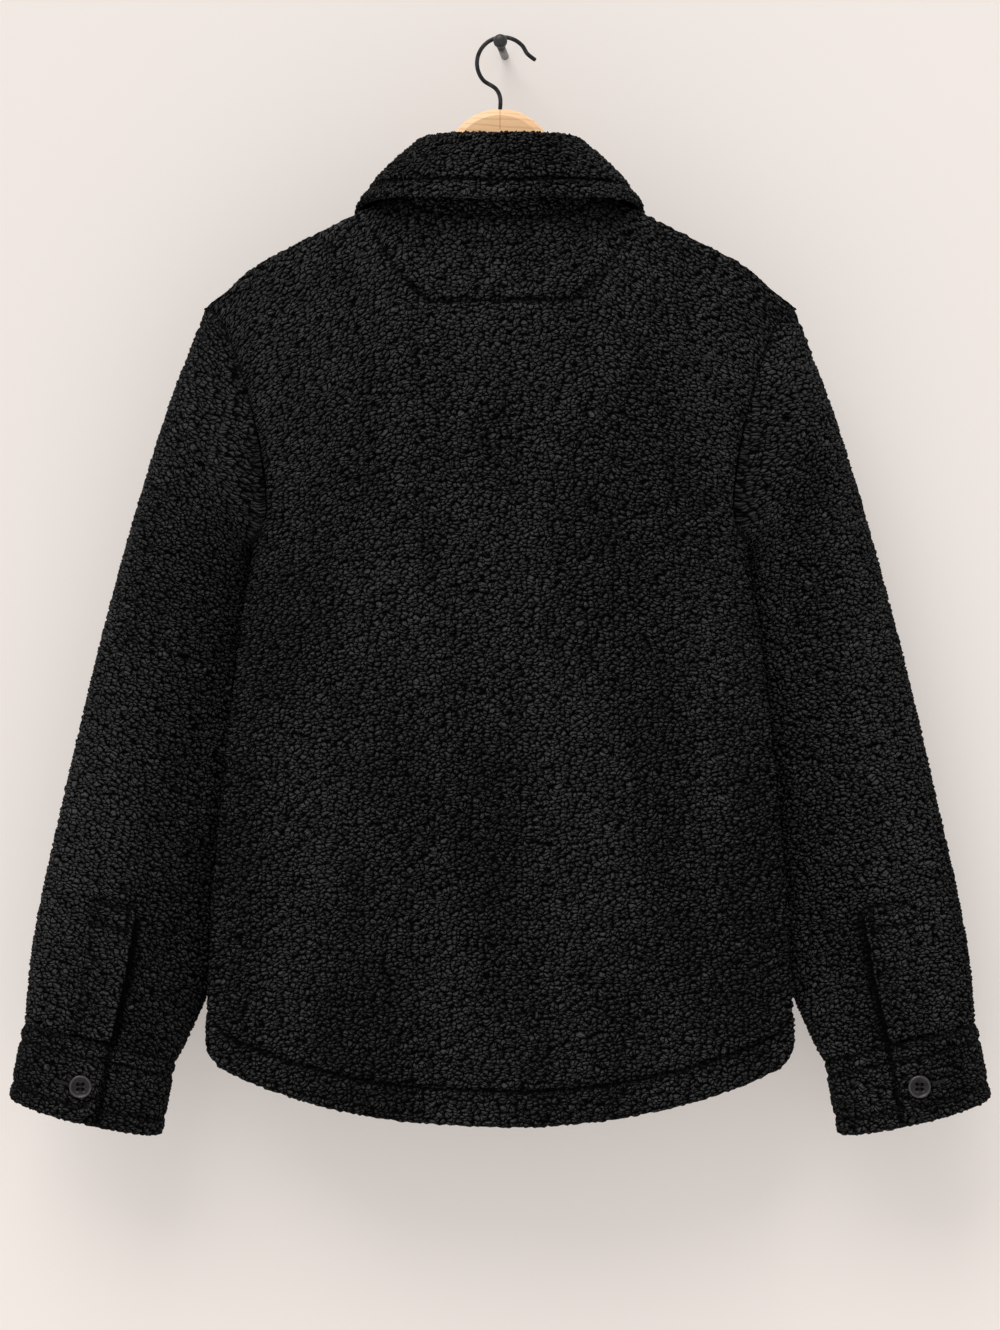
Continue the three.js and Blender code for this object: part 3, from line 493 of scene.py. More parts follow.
def makeBack():
    g, s = panelGrid, backStitches
    sewn = ("top", "start", "end")
    rows = panelRows(False, g["spacedShare"], g["backRows"])[:, None]
    shares = evenPlaces(lambda share: bodyPoint(False, share * panelSide(g["spacedRow"])[0], g["spacedRow"]),
                        np.linspace(-g["lastShare"], g["lastShare"], g["backSteps"]), g["backColumns"] - 2)
    shares = np.concatenate([[-1], shares, [1]])[None, :]
    points = bodyPoint(False, shares * panelSide(rows)[0], rows)
    normals = outward(points, False, (0, -1, 0))
    thickness = clothThickness(points)
    # The hem and neck patch stitches press the pile and are painted with shade in their grooves
    pressedAndShade = stitchAt(fromEdge(points, "foot"), s["hemAbove"])
    pressedAndShade = np.maximum(pressedAndShade, stitchAt(fromLine(points, s["patch"]) / s["patchBreadth"]))
    pile = bodyPile(points, pileLay["back"])
    shade = sewnShade(points, sewn)
    # Painted shade on the top of the back, where it lies in the gap under the collar's fall
    underCollar = smooth((bodyCut["neckHalfWidth"] + s["neckFade"] - np.abs(points[..., 0])) / s["neckFade"])
    neck = np.exp(-(fromEdge(points, "top") / s["neckReach"]) ** 2) * s["neckShade"] * underCollar
    points -= normals * (stitchPress["depth"] * pressedAndShade)[..., None]
    points = dipSeams(points, normals, sewn)
    pressedAndShade = np.maximum.reduce([pressedAndShade, shade, neck])
    return makeCloth("backPanel", points, normals, thickness, pile, pressedAndShade,
                     reach=dict.fromkeys(sewn, rim["sewn"]), innerStep=5, clampInner=insidePanel(False))


closing = {
    "bandHalfWidth": 22.0, "bandProud": 2.0, "underlapStart": -18.0, "dipStart": 25.0, "dipEnd": 38.0,
    "stitchIn": 5.0,
}


# side is -1 for the left front, which lies on top, and 1 for the right front, which runs on under it
def makeFront(name, side):
    g = panelGrid
    plainX = closing["bandHalfWidth"] if side < 0 else closing["dipEnd"]
    firstX = plainX if side < 0 else closing["underlapStart"]
    rows = panelRows(True, g["spacedShare"], g["frontRows"])[:, None]
    wide = bodyCut["shoulderX"]

    def placeX(tops, row):
        return np.where(tops < plainX, tops, mix(plainX, panelSide(row)[0], (tops - plainX) / (wide - plainX)))
    columns = g["frontColumns"] + (0 if side < 0 else g["underlapColumns"])
    tops = evenPlaces(lambda top: bodyPoint(True, placeX(top, g["spacedRow"]), g["spacedRow"]),
                      np.linspace(firstX, wide * g["lastShare"], g["frontSteps"]), columns - 1)
    tops = np.append(tops, wide)[None, :]
    points = bodyPoint(True, side * placeX(tops, rows), rows)
    normals = outward(points, False, (0, 1, 0))
    if side > 0:
        sink = 1 - smooth((tops - closing["dipStart"]) / (plainX - closing["dipStart"]))
        down = cloth["doubled"] - closing["bandProud"] + 2 * seams["gap"]
        points = points - normals * (sink * down)[..., None]
        normals = outward(points, False, (0, 1, 0))
    # The hem stitches and sewn edges press the pile, and are painted with shade in their grooves
    pressedAndShade = stitchAt(fromEdge(points, "foot"), backStitches["hemAbove"])
    pile = bodyPile(points, pileLay["front"] * side)
    sewn = ("top", "end", "start") if side < 0 else ("top", "end")
    thickness = clothThickness(points)
    shade = sewnShade(points, sewn)
    points -= normals * (stitchPress["depth"] * pressedAndShade)[..., None]
    points = dipSeams(points, normals, sewn)
    pressedAndShade = np.maximum(pressedAndShade, shade)
    return makeCloth(name, points, normals, thickness, pile, pressedAndShade,
                     reach=dict.fromkeys(("top", "end", "start"), rim["sewn"]), innerStep=4,
                     clampInner=insidePanel(True))


def makeBand():
    rows = panelRows(True, 0.0, panelGrid["bandRows"])[:, None]
    half = closing["bandHalfWidth"]
    places = np.linspace(seams["gap"] - half, half, panelGrid["bandColumns"])[None, :]
    points = bodyPoint(True, places, rows)
    normals = outward(points, False, (0, 1, 0))
    normals[..., 0] = 0
    normals = unit(normals)
    points = points + normals * closing["bandProud"]
    # The stitch lines press the pile and are painted with shade in their grooves
    pressedAndShade = np.maximum(*(stitchAt(fromEdge(points, edge), closing["stitchIn"]) for edge in ("start", "end")))
    pile = bodyPile(points, pileLay["band"])
    points = points - normals * (stitchPress["depth"] * pressedAndShade)[..., None]
    return makeCloth("frontBandStrip", points, normals, cloth["doubled"], pile, pressedAndShade,
                     reach={"top": rim["bandTop"]}, innerStep=3)


sleeveCut = {
    "sections": [  # outer x, y, z; inner x, y, z; half depth
        (236, 0, -216, 197, 0, -400, 38), (264, 4, -290, 198.5, 27, -418, 40),
        (289, 10, -368, 196, 44, -464, 38), (320, 15, -480, 197, 49, -545, 35),
        (350, 15, -606, 211, 43, -650, 33), (374, 11, -720, 228, 30, -744, 31),
        (381, 6, -790, 258.5, 12, -818, 27),
    ],
    "columns": 190, "rows": 400, "rowSteps": 300, "columnSteps": 400, "footDip": 1.0,
    "valleyReach": 32.0, "valleyShade": 0.55, "valleyStart": 0.25,
}


# A point of an oval section: angle 0 is the outer edge, 90 degrees the back, 180 the inner edge
def ovalPoint(outer, inner, halfDepth, angle, side):
    centre = (outer + inner) / 2
    reach = outer - centre
    along = unit(reach)
    backward = np.zeros_like(along)
    backward[..., 1] = -1
    backward = unit(backward + along * along[..., 1:2])
    result = centre + reach * np.cos(angle)[..., None] + backward * (halfDepth * np.sin(angle))[..., None]
    return result * np.array([side, 1, 1])


# The sleeve from the armhole (down 0) to the cuff seam (down 1)
def sleevePoint(side, down, angle):
    down, angle = np.broadcast_arrays(np.asarray(down, float), np.asarray(angle, float))
    table = np.array(sleeveCut["sections"], float)
    outer = smoothLine(table[:, 0:3], down)
    inner = smoothLine(table[:, 3:6], down)
    depthLine = np.stack([table[:, 6], np.arange(len(table)), np.zeros(len(table))], axis=1)
    depth = smoothLine(depthLine, down)[..., 0]
    result = ovalPoint(outer, inner, depth, angle, side)
    bow = bodyCut["armholeBow"] * (1 - smooth(down * (len(table) - 1)))
    result[..., 0] -= side * bow * np.abs(np.sin(angle))
    return result


# Pile coordinates square to the sleeve's own line: round it, and along it
def sleevePile(points, downs, turns, side):
    centre = (sleevePoint(side, downs, 0.0) + sleevePoint(side, downs, math.pi)) / 2
    along = unit(np.gradient(centre, axis=0))
    length = np.concatenate([[0], np.cumsum(np.linalg.norm(np.diff(centre, axis=0), axis=1))])
    axial = length[:, None] + ((points - centre[:, None]) * along[:, None]).sum(-1)
    ring = np.concatenate([points, points[:, :1]], axis=1)
    steps = np.diff(ring, axis=1)
    steps -= dot(steps, along[:, None]) * along[:, None]
    around = np.cumsum(np.linalg.norm(steps, axis=-1), axis=1)
    back = int(np.argmin(np.abs(turns - math.pi / 2)))
    return point(side * (around - around[:, [back]]) + pileLay["sleeve"] * side, -axial, 0)


placketCut = {
    "top": 0.766, "foot": 0.985,  # shares of the way down the sleeve
    "topTurn": 87.0, "footTurn": 94.0, "turns": 26.0,  # degrees round the sleeve
    "thickness": 3.0, "lift": 4.0, "liftsOver": 4, "rows": 80, "columns": 22,
    "slitTurn": 3.0, "slitWidth": 3.0, "slitDepth": 3.0, "slitFade": 0.02, "slitPast": 0.03,
    "bars": (3.5, 21.0), "barShare": 0.9, "stitchIn": 3.5, "sideShare": 0.6, "boxPast": 2,
}


# Where round the sleeve the placket's free edge lies, in degrees
def placketEdge(downs):
    p = placketCut
    return mix(p["topTurn"], p["footTurn"], (downs - p["top"]) / (p["foot"] - p["top"]))


# The slit in the sleeve, just beside the free edge of the placket that covers it
def slitAt(points, downs, turns):
    p = placketCut
    turned = turns - np.radians(placketEdge(downs) + p["slitTurn"])
    radius = np.linalg.norm(points - points.mean(axis=1, keepdims=True), axis=-1)
    opens = smooth((downs - p["top"]) / p["slitFade"])
    closes = smooth((p["foot"] + p["slitPast"] - downs) / p["slitFade"])
    return np.exp(-((turned * radius) / p["slitWidth"]) ** 2) * (opens * closes)


def makeSleeve(name, side):
    c = sleeveCut
    downs = evenPlaces(lambda down: sleevePoint(side, down, math.pi / 2),
                       np.linspace(0, 1, c["rowSteps"]), c["rows"])[:, None]
    turns = evenPlaces(lambda turn: sleevePoint(side, 0.5, turn),
                       np.linspace(0, 2 * math.pi, c["columnSteps"]), c["columns"] + 1)[None, :-1]
    points = sleevePoint(side, downs, turns)
    normals = outward(points, True, points - points.mean(axis=1, keepdims=True))
    under = np.maximum(0, -np.cos(turns))
    points[0, :, 0] += side * mix(seams["gap"], seams["underarmGap"], under[0])
    points[0, :, 2] += seams["underarmGap"] * under[0]
    pile = sleevePile(points, downs[:, 0], turns[0], side)
    pressedAndShade = sewnShade(points, ("top", "foot"))
    # Painted shade in the valley below the armhole seam, stronger away from the sleeve's outer edge
    valley = np.exp(-(fromEdge(points, "top") / c["valleyReach"]) ** 2) * c["valleyShade"]
    pressedAndShade = np.maximum(pressedAndShade, valley * smooth(1 - np.cos(turns) - c["valleyStart"]))
    # The slit beside the placket's free edge is lowered and painted with shadow
    slit = slitAt(points, downs, turns)
    points = points - normals * (placketCut["slitDepth"] * slit)[..., None]
    pressedAndShade = np.maximum(pressedAndShade, slit)
    points = dipSeams(points, normals, ("top",))
    points = dipSeams(points, normals, ("foot",), c["footDip"])
    return makeCloth(name, points, normals, cloth["single"], pile, pressedAndShade, wrap=True,
                     reach=dict.fromkeys(("top", "foot"), rim["sewn"]), innerStep=4)


cuffCut = {
    "top": {"outer": (376.5, 6, -790.5), "inner": (260, 12, -818.5), "halfDepth": 27},
    "foot": {"outer": (387, 5, -845), "inner": (270, 9, -873), "halfDepth": 27},
    "lapStart": 54.0, "lapEnd": 454.0, "riseStart": 250.0, "riseEnd": 385.0,  # degrees along the strip
    "droop": 5.0, "lapGap": 0.5, "lapShade": 3.0, "lapShadeWidth": 2.6, "cornerTurn": 16.0, "cornerRise": 0.16,
    "rows": 36, "columns": 230, "columnSteps": 500, "stitchIn": 11.0, "stitchShare": 0.85, "seamShare": 0.6,
}


# A point of the cuff strip: turn in degrees along the strip, across from seam to free edge
def cuffPoint(side, turn, across):
    c = cuffCut
    turn, across = np.broadcast_arrays(np.asarray(turn, float), np.asarray(across, float))
    share = across[..., None]
    outer = mix(np.array(c["top"]["outer"], float), np.array(c["foot"]["outer"], float), share)
    inner = mix(np.array(c["top"]["inner"], float), np.array(c["foot"]["inner"], float), share)
    lift = (cloth["doubled"] + c["lapGap"]) * smooth((turn - c["riseStart"]) / (c["riseEnd"] - c["riseStart"]))
    halfDepth = mix(c["top"]["halfDepth"], c["foot"]["halfDepth"], across) + lift
    outer = outer + unit(outer - inner) * lift[..., None]
    angle = np.radians(turn)
    result = ovalPoint(outer, inner, halfDepth, angle, side)
    result[..., 2] -= c["droop"] * across * np.maximum(0, np.sin(angle))
    return result


def makeCuff(name, side):
    c = cuffCut
    turns = evenPlaces(lambda turn: cuffPoint(side, turn, 0.5),
                       np.linspace(c["lapStart"], c["lapEnd"], c["columnSteps"]), c["columns"])[None, :]
    nearEnd = smooth((turns - c["lapEnd"] + c["cornerTurn"]) / c["cornerTurn"])
    across = np.linspace(0, 1, c["rows"])[:, None] * (1 - c["cornerRise"] * nearEnd ** 3)
    points = cuffPoint(side, turns, across)
    normals = outward(points, False, points - points.mean(axis=(0, 1)))
    fromSeam, fromFoot = fromEdge(points, "top"), fromEdge(points, "foot")
    # The stitch lines and the seam line press the pile and are painted with shade in their grooves
    pressedAndShade = c["stitchShare"] * (stitchAt(fromFoot, c["stitchIn"]) + stitchAt(fromSeam, c["stitchIn"]))
    pressedAndShade = np.maximum(pressedAndShade, c["seamShare"] * stitchAt(fromSeam))
    # Painted shadow on the under layer beside the lap's end
    underLap = (turns - (c["lapEnd"] - 360 + c["lapShade"])) / c["lapShadeWidth"]
    pressedAndShade = np.maximum(pressedAndShade, np.exp(-underLap ** 2))
    shift, drop = pileLay["cuff"]
    pile = point(side * fromEdge(points, "start") + shift * side, drop - fromSeam, 0)
    points = points - normals * (stitchPress["depth"] / 2 * pressedAndShade)[..., None]
    return makeCloth(name, points, normals, cloth["doubled"], pile, pressedAndShade, innerStep=3)


def makePlacket(name, side):
    p = placketCut
    downs = np.linspace(p["top"], p["foot"], p["rows"])[:, None]
    share = np.linspace(0, 1, p["columns"])[None, :]
    turns = placketEdge(downs) - p["turns"] * (1 - share)
    points = sleevePoint(side, downs, np.radians(turns))
    normals = outward(points, False, (0, -1, 0))
    opening = smooth((downs - p["top"]) / (p["foot"] - p["top"]) * p["liftsOver"])
    lift = 2 * seams["gap"] + p["lift"] * share ** 2 * opening + p["thickness"]
    points = points + normals * lift[..., None]
    fromTop, fromStart = fromEdge(points, "top"), fromEdge(points, "start")
    # The bars and side stitch lines press the pile and are painted with shade in their grooves
    boxed = fromTop < p["bars"][1] + p["boxPast"]
    lines = [stitchAt(fromTop, bar) * p["barShare"] for bar in p["bars"]]
    lines.append(stitchAt(fromStart, p["stitchIn"]) * p["sideShare"])
    lines.append(stitchAt(fromEdge(points, "end"), p["stitchIn"]) * boxed)
    pressedAndShade = np.maximum.reduce(lines)
    shift, drop = pileLay["placket"]
    pile = point(side * fromStart + shift * side, drop - fromTop, 0)
    points = points - normals * (stitchPress["depth"] / 2 * pressedAndShade)[..., None]
    return makeCloth(name, points, normals, p["thickness"], pile, pressedAndShade, innerStep=3)


collarCut = {
    "standThickness": 5.0, "fallThickness": 6.0, "rollRadius": 4.5, "standTopBelowRoll": 13.0,
    "standSeat": 1.4, "standTuck": 4.0, "standShade": 0.45, "rollSeat": 0.8, "endTurn": 173.0, "belly": 3.0,
    "rows": [  # turn from the centre back; roll x, y, z; free edge x, y, z
        (0, 0, -38, -82, 0, -60, -130), (30, 31, -34, -82, 50, -58, -128), (60, 51, -20, -84, 90, -42, -128),
        (90, 59, 2, -92, 112, 0, -134), (120, 53, 25, -112, 107, 42, -167), (150, 32, 40, -142, 92, 57, -212),
        (173, 9, 46, -168, 64, 59, -246),
    ],
    "columns": 420, "columnSteps": 700, "standRows": 34, "fallRows": 66, "rollSteps": 13, "fallSteps": 14,
    "flatRow": 22, "hangingRows": 10, "stitchAbove": 12.0,
}


# Middle lines of the collar at places round the neck: seam, roll and free edge, with directions
def collarLines(turn):
    size = np.abs(turn)
    table = np.array(collarCut["rows"], float)
    share = np.interp(size, table[:, 0], np.linspace(0, 1, len(table)))
    roll = smoothLine(table[:, 1:4], share)
    edge = smoothLine(table[:, 4:7], share)
    angle = np.radians(size)
    x = bodyCut["neckHalfWidth"] * np.sin(angle)
    frontY, frontZ = topLine(True, np.minimum(x, bodyCut["neckHalfWidth"]))
    backY, backZ = topLine(False, np.minimum(x, bodyCut["neckHalfWidth"]))
    front = size > 90
    seam = point(x, np.where(front, frontY, -backY), np.where(front, frontZ, backZ))
    upward = unit(roll - seam)
    aside = point(np.sin(angle), -np.cos(angle), 0)
    aside = unit(aside - upward * dot(aside, upward))
    flip = np.stack([np.where(turn < 0, -1.0, 1.0), np.ones_like(size), np.ones_like(size)], axis=-1)
    return roll * flip, edge * flip, seam * flip, aside * flip, upward * flip


# Places round the neck, evenly spaced along the free edge
def collarTurns():
    c = collarCut
    places = np.linspace(-c["endTurn"], c["endTurn"], c["columnSteps"])
    return evenPlaces(lambda turn: collarLines(turn)[1], places, c["columns"])


# Pile coordinates of a curved strip laid out flat, true to its last row and to the row start
def laidFlat(points, start=0):
    steps = np.linalg.norm(np.diff(points, axis=1), axis=-1)
    down = fromEdge(points, "top")
    length = down[-1] - down[start]
    turned = (steps[-1] - steps[start]) / ((length[1:] + length[:-1]) / 2)
    middle = steps.shape[1] // 2
    angle = np.concatenate([[0], np.cumsum(turned)])
    angle -= angle[middle]
    between = (angle[1:] + angle[:-1]) / 2
    x = np.concatenate([[0], np.cumsum(steps[start] * np.cos(between))])
    y = np.concatenate([[0], np.cumsum(steps[start] * np.sin(between))])
    out = down - down[start]
    return point(x - x[middle] + out * np.sin(angle), y - y[middle] - out * np.cos(angle), 0)


def makeStand():
    c = collarCut
    roll, _, seam, aside, upward = collarLines(collarTurns())
    foot = seam - aside * (cloth["single"] / 2) + upward * (c["standSeat"] - c["standTuck"])
    head = roll - upward * c["standTopBelowRoll"]
    points = np.stack([mix(foot, head, share) for share in np.linspace(0, 1, c["standRows"])])
    normals = outward(points, False, aside)
    points = points + normals * (c["standThickness"] / 2)
    pile = laidFlat(points) + point(pileLay["stand"], 0, 0)
    # The whole stand is painted with shade, as it lies under the fall, and its pile lies flatter
    pressedAndShade = np.full(points.shape[:2], c["standShade"])
    return makeCloth("collarStandBand", points, normals, c["standThickness"], pile, pressedAndShade, innerStep=2)


def makeFall():
    c = collarCut
    roll, edge, _, aside, upward = collarLines(collarTurns())
    radius = c["rollRadius"]
    centre = roll + aside * radius - upward * radius
    profile = [roll + upward * (c["rollSeat"] - c["standTopBelowRoll"])]
    for turned in np.radians(np.linspace(180, 0, c["rollSteps"])):
        profile.append(centre + aside * (radius * math.cos(turned)) + upward * (radius * math.sin(turned)))
    last = profile[-1]
    for share in np.linspace(0, 1, c["fallSteps"])[1:]:
        profile.append(mix(last, edge, share) + aside * (c["belly"] * math.sin(math.pi * share)))
    profile = np.stack(profile)
    places = np.arange(len(profile), dtype=float)
    columns = []
    for line in profile.transpose(1, 0, 2):
        spaced = evenPlaces(lambda place: line[place.astype(int)], places, c["fallRows"])
        columns.append(np.stack([np.interp(spaced, places, line[:, k]) for k in range(3)], axis=-1))
    points = np.stack(columns, axis=1)
    hanging = np.zeros_like(points)
    hanging[-c["hangingRows"]:] = aside
    normals = outward(points, False, hanging)
    points = points + normals * (c["fallThickness"] / 2)
    # The stitch line above the free edge presses the pile and is painted with shade in its groove
    pressedAndShade = stitchAt(fromEdge(points, "foot"), c["stitchAbove"])
    pile = laidFlat(points, c["flatRow"]) + point(pileLay["fall"], 0, 0)
    points = points - normals * (stitchPress["depth"] * pressedAndShade)[..., None]
    return makeCloth("collarFall", points, normals, c["fallThickness"], pile, pressedAndShade, innerStep=2)


buttonMake = {
    "radius": 9.0, "thickness": 3.2, "dish": 1.0, "rimWidth": 1.9, "rimTurn": 0.82, "backRound": 1.1,
    "faceEdge": [(-0.35, 0.16), (-1.1, 0.0)], "faceMiddle": [(3.0, -0.06), (0.0, -0.08)],
    "holeRadius": 1.35, "holeOffset": 2.7, "turns": 64, "seat": 0.4,
    "cuffTurn": 443.0, "cuffAcross": 0.56, "count": 7, "firstZ": -232.0, "lastZ": -800.0,
    # each strand: share of the way to the hole, and height over the face
    "threadRadius": 0.42, "strands": (-0.28, 0.28), "strandFoot": 0.3,
    "strandArch": [(-1, -0.1), (-0.6, 0.32), (0, 0.42), (0.6, 0.32), (1, -0.1)],
    # the bar at the end of each cuff buttonhole: degrees before the button, and shares across the cuff
    "barFrom": 9.5, "barTo": 20.0, "barPoints": 12, "barStrands": (-0.014, 0.0, 0.014), "barProud": 1.8,
}


# A dished button with a round rim and four sewing holes, its flat back at z = 0
def buttonMesh():
    b = buttonMake
    r, t = b["radius"], b["thickness"]
    inside, floor, soft = r - b["rimWidth"], t - b["dish"], b["backRound"]
    profile = [(0.0, 0.0), (r - soft, 0.0)]
    for a in np.linspace(0, math.pi / 2, 6)[1:]:
        profile.append((r - soft + soft * math.sin(a), soft - soft * math.cos(a)))
    middle, bead = r - b["rimWidth"] / 2, b["rimWidth"] / 2
    for a in np.linspace(0, math.pi * b["rimTurn"], 10):
        profile.append((middle + bead * math.cos(a), t - bead + bead * math.sin(a)))
    profile += [(inside + x, floor + z) for x, z in b["faceEdge"]]
    profile += [(x, floor + z) for x, z in b["faceMiddle"]]
    mesh = bpy.data.meshes.new("buttonShape")
    work = bmesh.new()
    line = [work.verts.new((x, 0, z)) for x, z in profile]
    edges = [work.edges.new(pair) for pair in zip(line[:-1], line[1:])]
    bmesh.ops.spin(work, geom=line + edges, axis=(0, 0, 1), cent=(0, 0, 0), steps=b["turns"],
                   angle=2 * math.pi, use_duplicate=False)
    bmesh.ops.remove_doubles(work, verts=work.verts, dist=0.001)
    bmesh.ops.recalc_face_normals(work, faces=work.faces)
    work.to_mesh(mesh)
    work.free()
    disc = bpy.data.objects.new("buttonBlank", mesh)
    scene.collection.objects.link(disc)
    drill = bmesh.new()
    for k in range(4):
        angle = math.pi / 4 + k * math.pi / 2
        place = Matrix.Translation((b["holeOffset"] * math.cos(angle), b["holeOffset"] * math.sin(angle), 0))
        bmesh.ops.create_cone(drill, cap_ends=True, segments=20, radius1=b["holeRadius"],
                              radius2=b["holeRadius"], depth=20, matrix=place)
    drillMesh = bpy.data.meshes.new("drills")
    drill.to_mesh(drillMesh)
    drill.free()
    drills = bpy.data.objects.new("drills", drillMesh)
    scene.collection.objects.link(drills)
    cut = disc.modifiers.new("holes", "BOOLEAN")
    cut.operation, cut.solver, cut.object = "DIFFERENCE", "EXACT", drills
    bpy.context.view_layer.update()
    result = bpy.data.meshes.new_from_object(disc.evaluated_get(bpy.context.evaluated_depsgraph_get()))
    for piece in (disc, drills):
        bpy.data.objects.remove(piece)
    for face in result.polygons:  # the rim has a material of its own: glossier, and paler as a painted highlight
        face.material_index = int(math.hypot(face.center[0], face.center[1]) > inside)
    return result


# A round tube of mesh along points, closed at both ends
def tube(work, line, radius, sides=10):
    line = [Vector(p) for p in line]
    rings = []
    normal = Vector((0, 1, 0))
    for k, p in enumerate(line):
        ahead = (line[min(k + 1, len(line) - 1)] - line[max(k - 1, 0)]).normalized()
        normal = normal - ahead * normal.dot(ahead)
        normal = normal.normalized() if normal.length > 1e-6 else ahead.orthogonal().normalized()
        other = ahead.cross(normal)
        size = radius[k] if hasattr(radius, "__len__") else radius
        rings.append([work.verts.new(p + (normal * math.cos(a) + other * math.sin(a)) * size)
                      for a in np.linspace(0, 2 * math.pi, sides, endpoint=False)])
    for a, b in zip(rings[:-1], rings[1:]):
        for k in range(sides):
            work.faces.new((a[k], a[(k + 1) % sides], b[(k + 1) % sides], b[k]))
    work.faces.new(rings[0][::-1])
    work.faces.new(rings[-1])


# Makes a mesh object in metres from one worked out in millimetres
def finishMesh(name, work):
    bmesh.ops.recalc_face_normals(work, faces=work.faces)
    mesh = bpy.data.meshes.new(name)
    work.to_mesh(mesh)
    work.free()
    mesh.transform(Matrix.Scale(toMetres, 4))
    mesh.shade_smooth()
    piece = bpy.data.objects.new(name, mesh)
    scene.collection.objects.link(piece)
    return piece


# Where a button sits on a surface, and which way it faces
def buttonPlace(surface, u, v):
    step = 0.01
    here, across, along = surface(u, v), surface(u + step, v), surface(u, v + step)
    direction = unit(np.cross(across - here, along - here))
    if (direction * here * np.array([0, 1, 0])).sum() < 0:
        direction = -direction
    return Vector(here + direction * buttonMake["seat"]), Vector(direction)


# A point on the front of the band at a height z
def bandSurface(x, z):
    rows = np.linspace(0, bodyCut["bodyRows"], panelGrid["bandSteps"])
    line = bodyPoint(True, np.full_like(rows, x), rows)
    row = np.interp(-z, -line[:, 2], rows)
    return bodyPoint(True, x, row) + np.array([0, closing["bandProud"], 0])


# Two strands through each pair of holes
def sewButton(threads, where):
    b = buttonMake
    reach, face = b["holeOffset"] * math.cos(math.pi / 4), b["thickness"] - b["dish"]
    arch = [(share * reach, face + rise) for share, rise in b["strandArch"]]
    line = [(-reach, b["strandFoot"])] + arch + [(reach, b["strandFoot"])]
    for row in (-1, 1):
        for strand in b["strands"]:
            tube(threads, [where @ Vector((x, row * reach + strand, z)) for x, z in line], b["threadRadius"])


def makeButtons():
    b = buttonMake
    shape = buttonMesh()
    places = {}
    for name, side in sides:
        place = buttonPlace(lambda turn, across: cuffPoint(side, turn, across), b["cuffTurn"], b["cuffAcross"])
        places[f"cuff_button_{name}"] = place
    for k in range(b["count"]):
        z = mix(b["firstZ"], b["lastZ"], k / (b["count"] - 1))
        places[f"front_button_{k + 1}"] = buttonPlace(bandSurface, 0.0, z)
    discs = []
    threads, bars = bmesh.new(), bmesh.new()
    for node, (place, direction) in places.items():
        turn = Vector((0, 0, 1)).rotation_difference(direction).to_matrix().to_4x4()
        where = Matrix.Translation(place) @ turn
        mesh = shape.copy()
        mesh.transform(Matrix.Scale(toMetres, 4) @ where)
        mesh.shade_smooth()
        button = bpy.data.objects.new(node.replace("button", "buttonDisc"), mesh)
        scene.collection.objects.link(button)
        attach(button, "root")
        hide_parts(node)
        discs.append(button)
        sewButton(threads, where)
    barTurns = np.linspace(b["cuffTurn"] - b["barFrom"], b["cuffTurn"] - b["barTo"], b["barPoints"])
    for _, side in sides:
        for strand in b["barStrands"]:
            bar = cuffPoint(side, barTurns, np.full(b["barPoints"], b["cuffAcross"] + strand))
            bar[:, 1] -= cloth["doubled"] / 2 + b["barProud"]
            tube(bars, bar, b["threadRadius"])
    sewing = [finishMesh("buttonThreads", threads), finishMesh("buttonholeBars", bars)]
    for piece in sewing:
        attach(piece, "root")
    return discs, sewing


hookBend = {
    "wireRadius": 1.7, "radius": 20.8, "centreX": 2.4, "stemZ": -46.0, "stemFoot": -72.0, "bend": (-3.4, -39.4),
    "turnStart": 222, "turnEnd": 22, "turnStep": 20, "flare": (25.4, -14.4), "tip": (28.6, -16.6),
    "points": 160, "pointSteps": 800, "tipShares": (0.95, 0.72),  # the last two rings, as shares of the wire
}


def makeHook():
    h = hookBend
    centreZ = h["wireRadius"] - math.sqrt(h["radius"] ** 2 - h["centreX"] ** 2)
    route = [(0, h["stemFoot"]), (0, (h["stemFoot"] + h["stemZ"]) / 2), (0, h["stemZ"]), h["bend"]]
    for degrees in range(h["turnStart"], h["turnEnd"] - 1, -h["turnStep"]):
        a = math.radians(degrees)
        route.append((h["centreX"] + h["radius"] * math.cos(a), centreZ + h["radius"] * math.sin(a)))
    route += [h["flare"], h["tip"]]
    route = np.array([(x, 0, z) for x, z in route])
    shares = np.linspace(0, 1, h["pointSteps"])
    line = smoothLine(route, evenPlaces(lambda share: smoothLine(route, share), shares, h["points"]))
    radius = [h["wireRadius"]] * (len(line) - 2) + [h["wireRadius"] * share for share in h["tipShares"]]
    work = bmesh.new()
    tube(work, line, radius, 24)
    return finishMesh("hookWire", work)


# Adds a node; values and links go to its inputs by name or number
def addNode(tree, kind, inputs=None, **settings):
    made = tree.nodes.new(kind)
    for key, value in settings.items():
        setattr(made, key, value)
    for key, value in (inputs or {}).items():
        if isinstance(value, bpy.types.NodeSocket):
            tree.links.new(value, made.inputs[key])
        else:
            made.inputs[key].default_value = value
    return made


def maths(tree, operation, *values):
    return addNode(tree, "ShaderNodeMath", dict(enumerate(values)), operation=operation).outputs[0]


def vectorMaths(tree, operation, *values, scale=None):
    made = addNode(tree, "ShaderNodeVectorMath", dict(enumerate(values)), operation=operation)
    if scale is not None:
        made.inputs["Scale"].default_value = scale
    return made.outputs[0]


def mapped(tree, value, low, high, toLow=0.0, toHigh=1.0):
    ends = {"Value": value, "From Min": low, "From Max": high, "To Min": toLow, "To Max": toHigh}
    return addNode(tree, "ShaderNodeMapRange", ends, interpolation_type="SMOOTHSTEP").outputs["Result"]


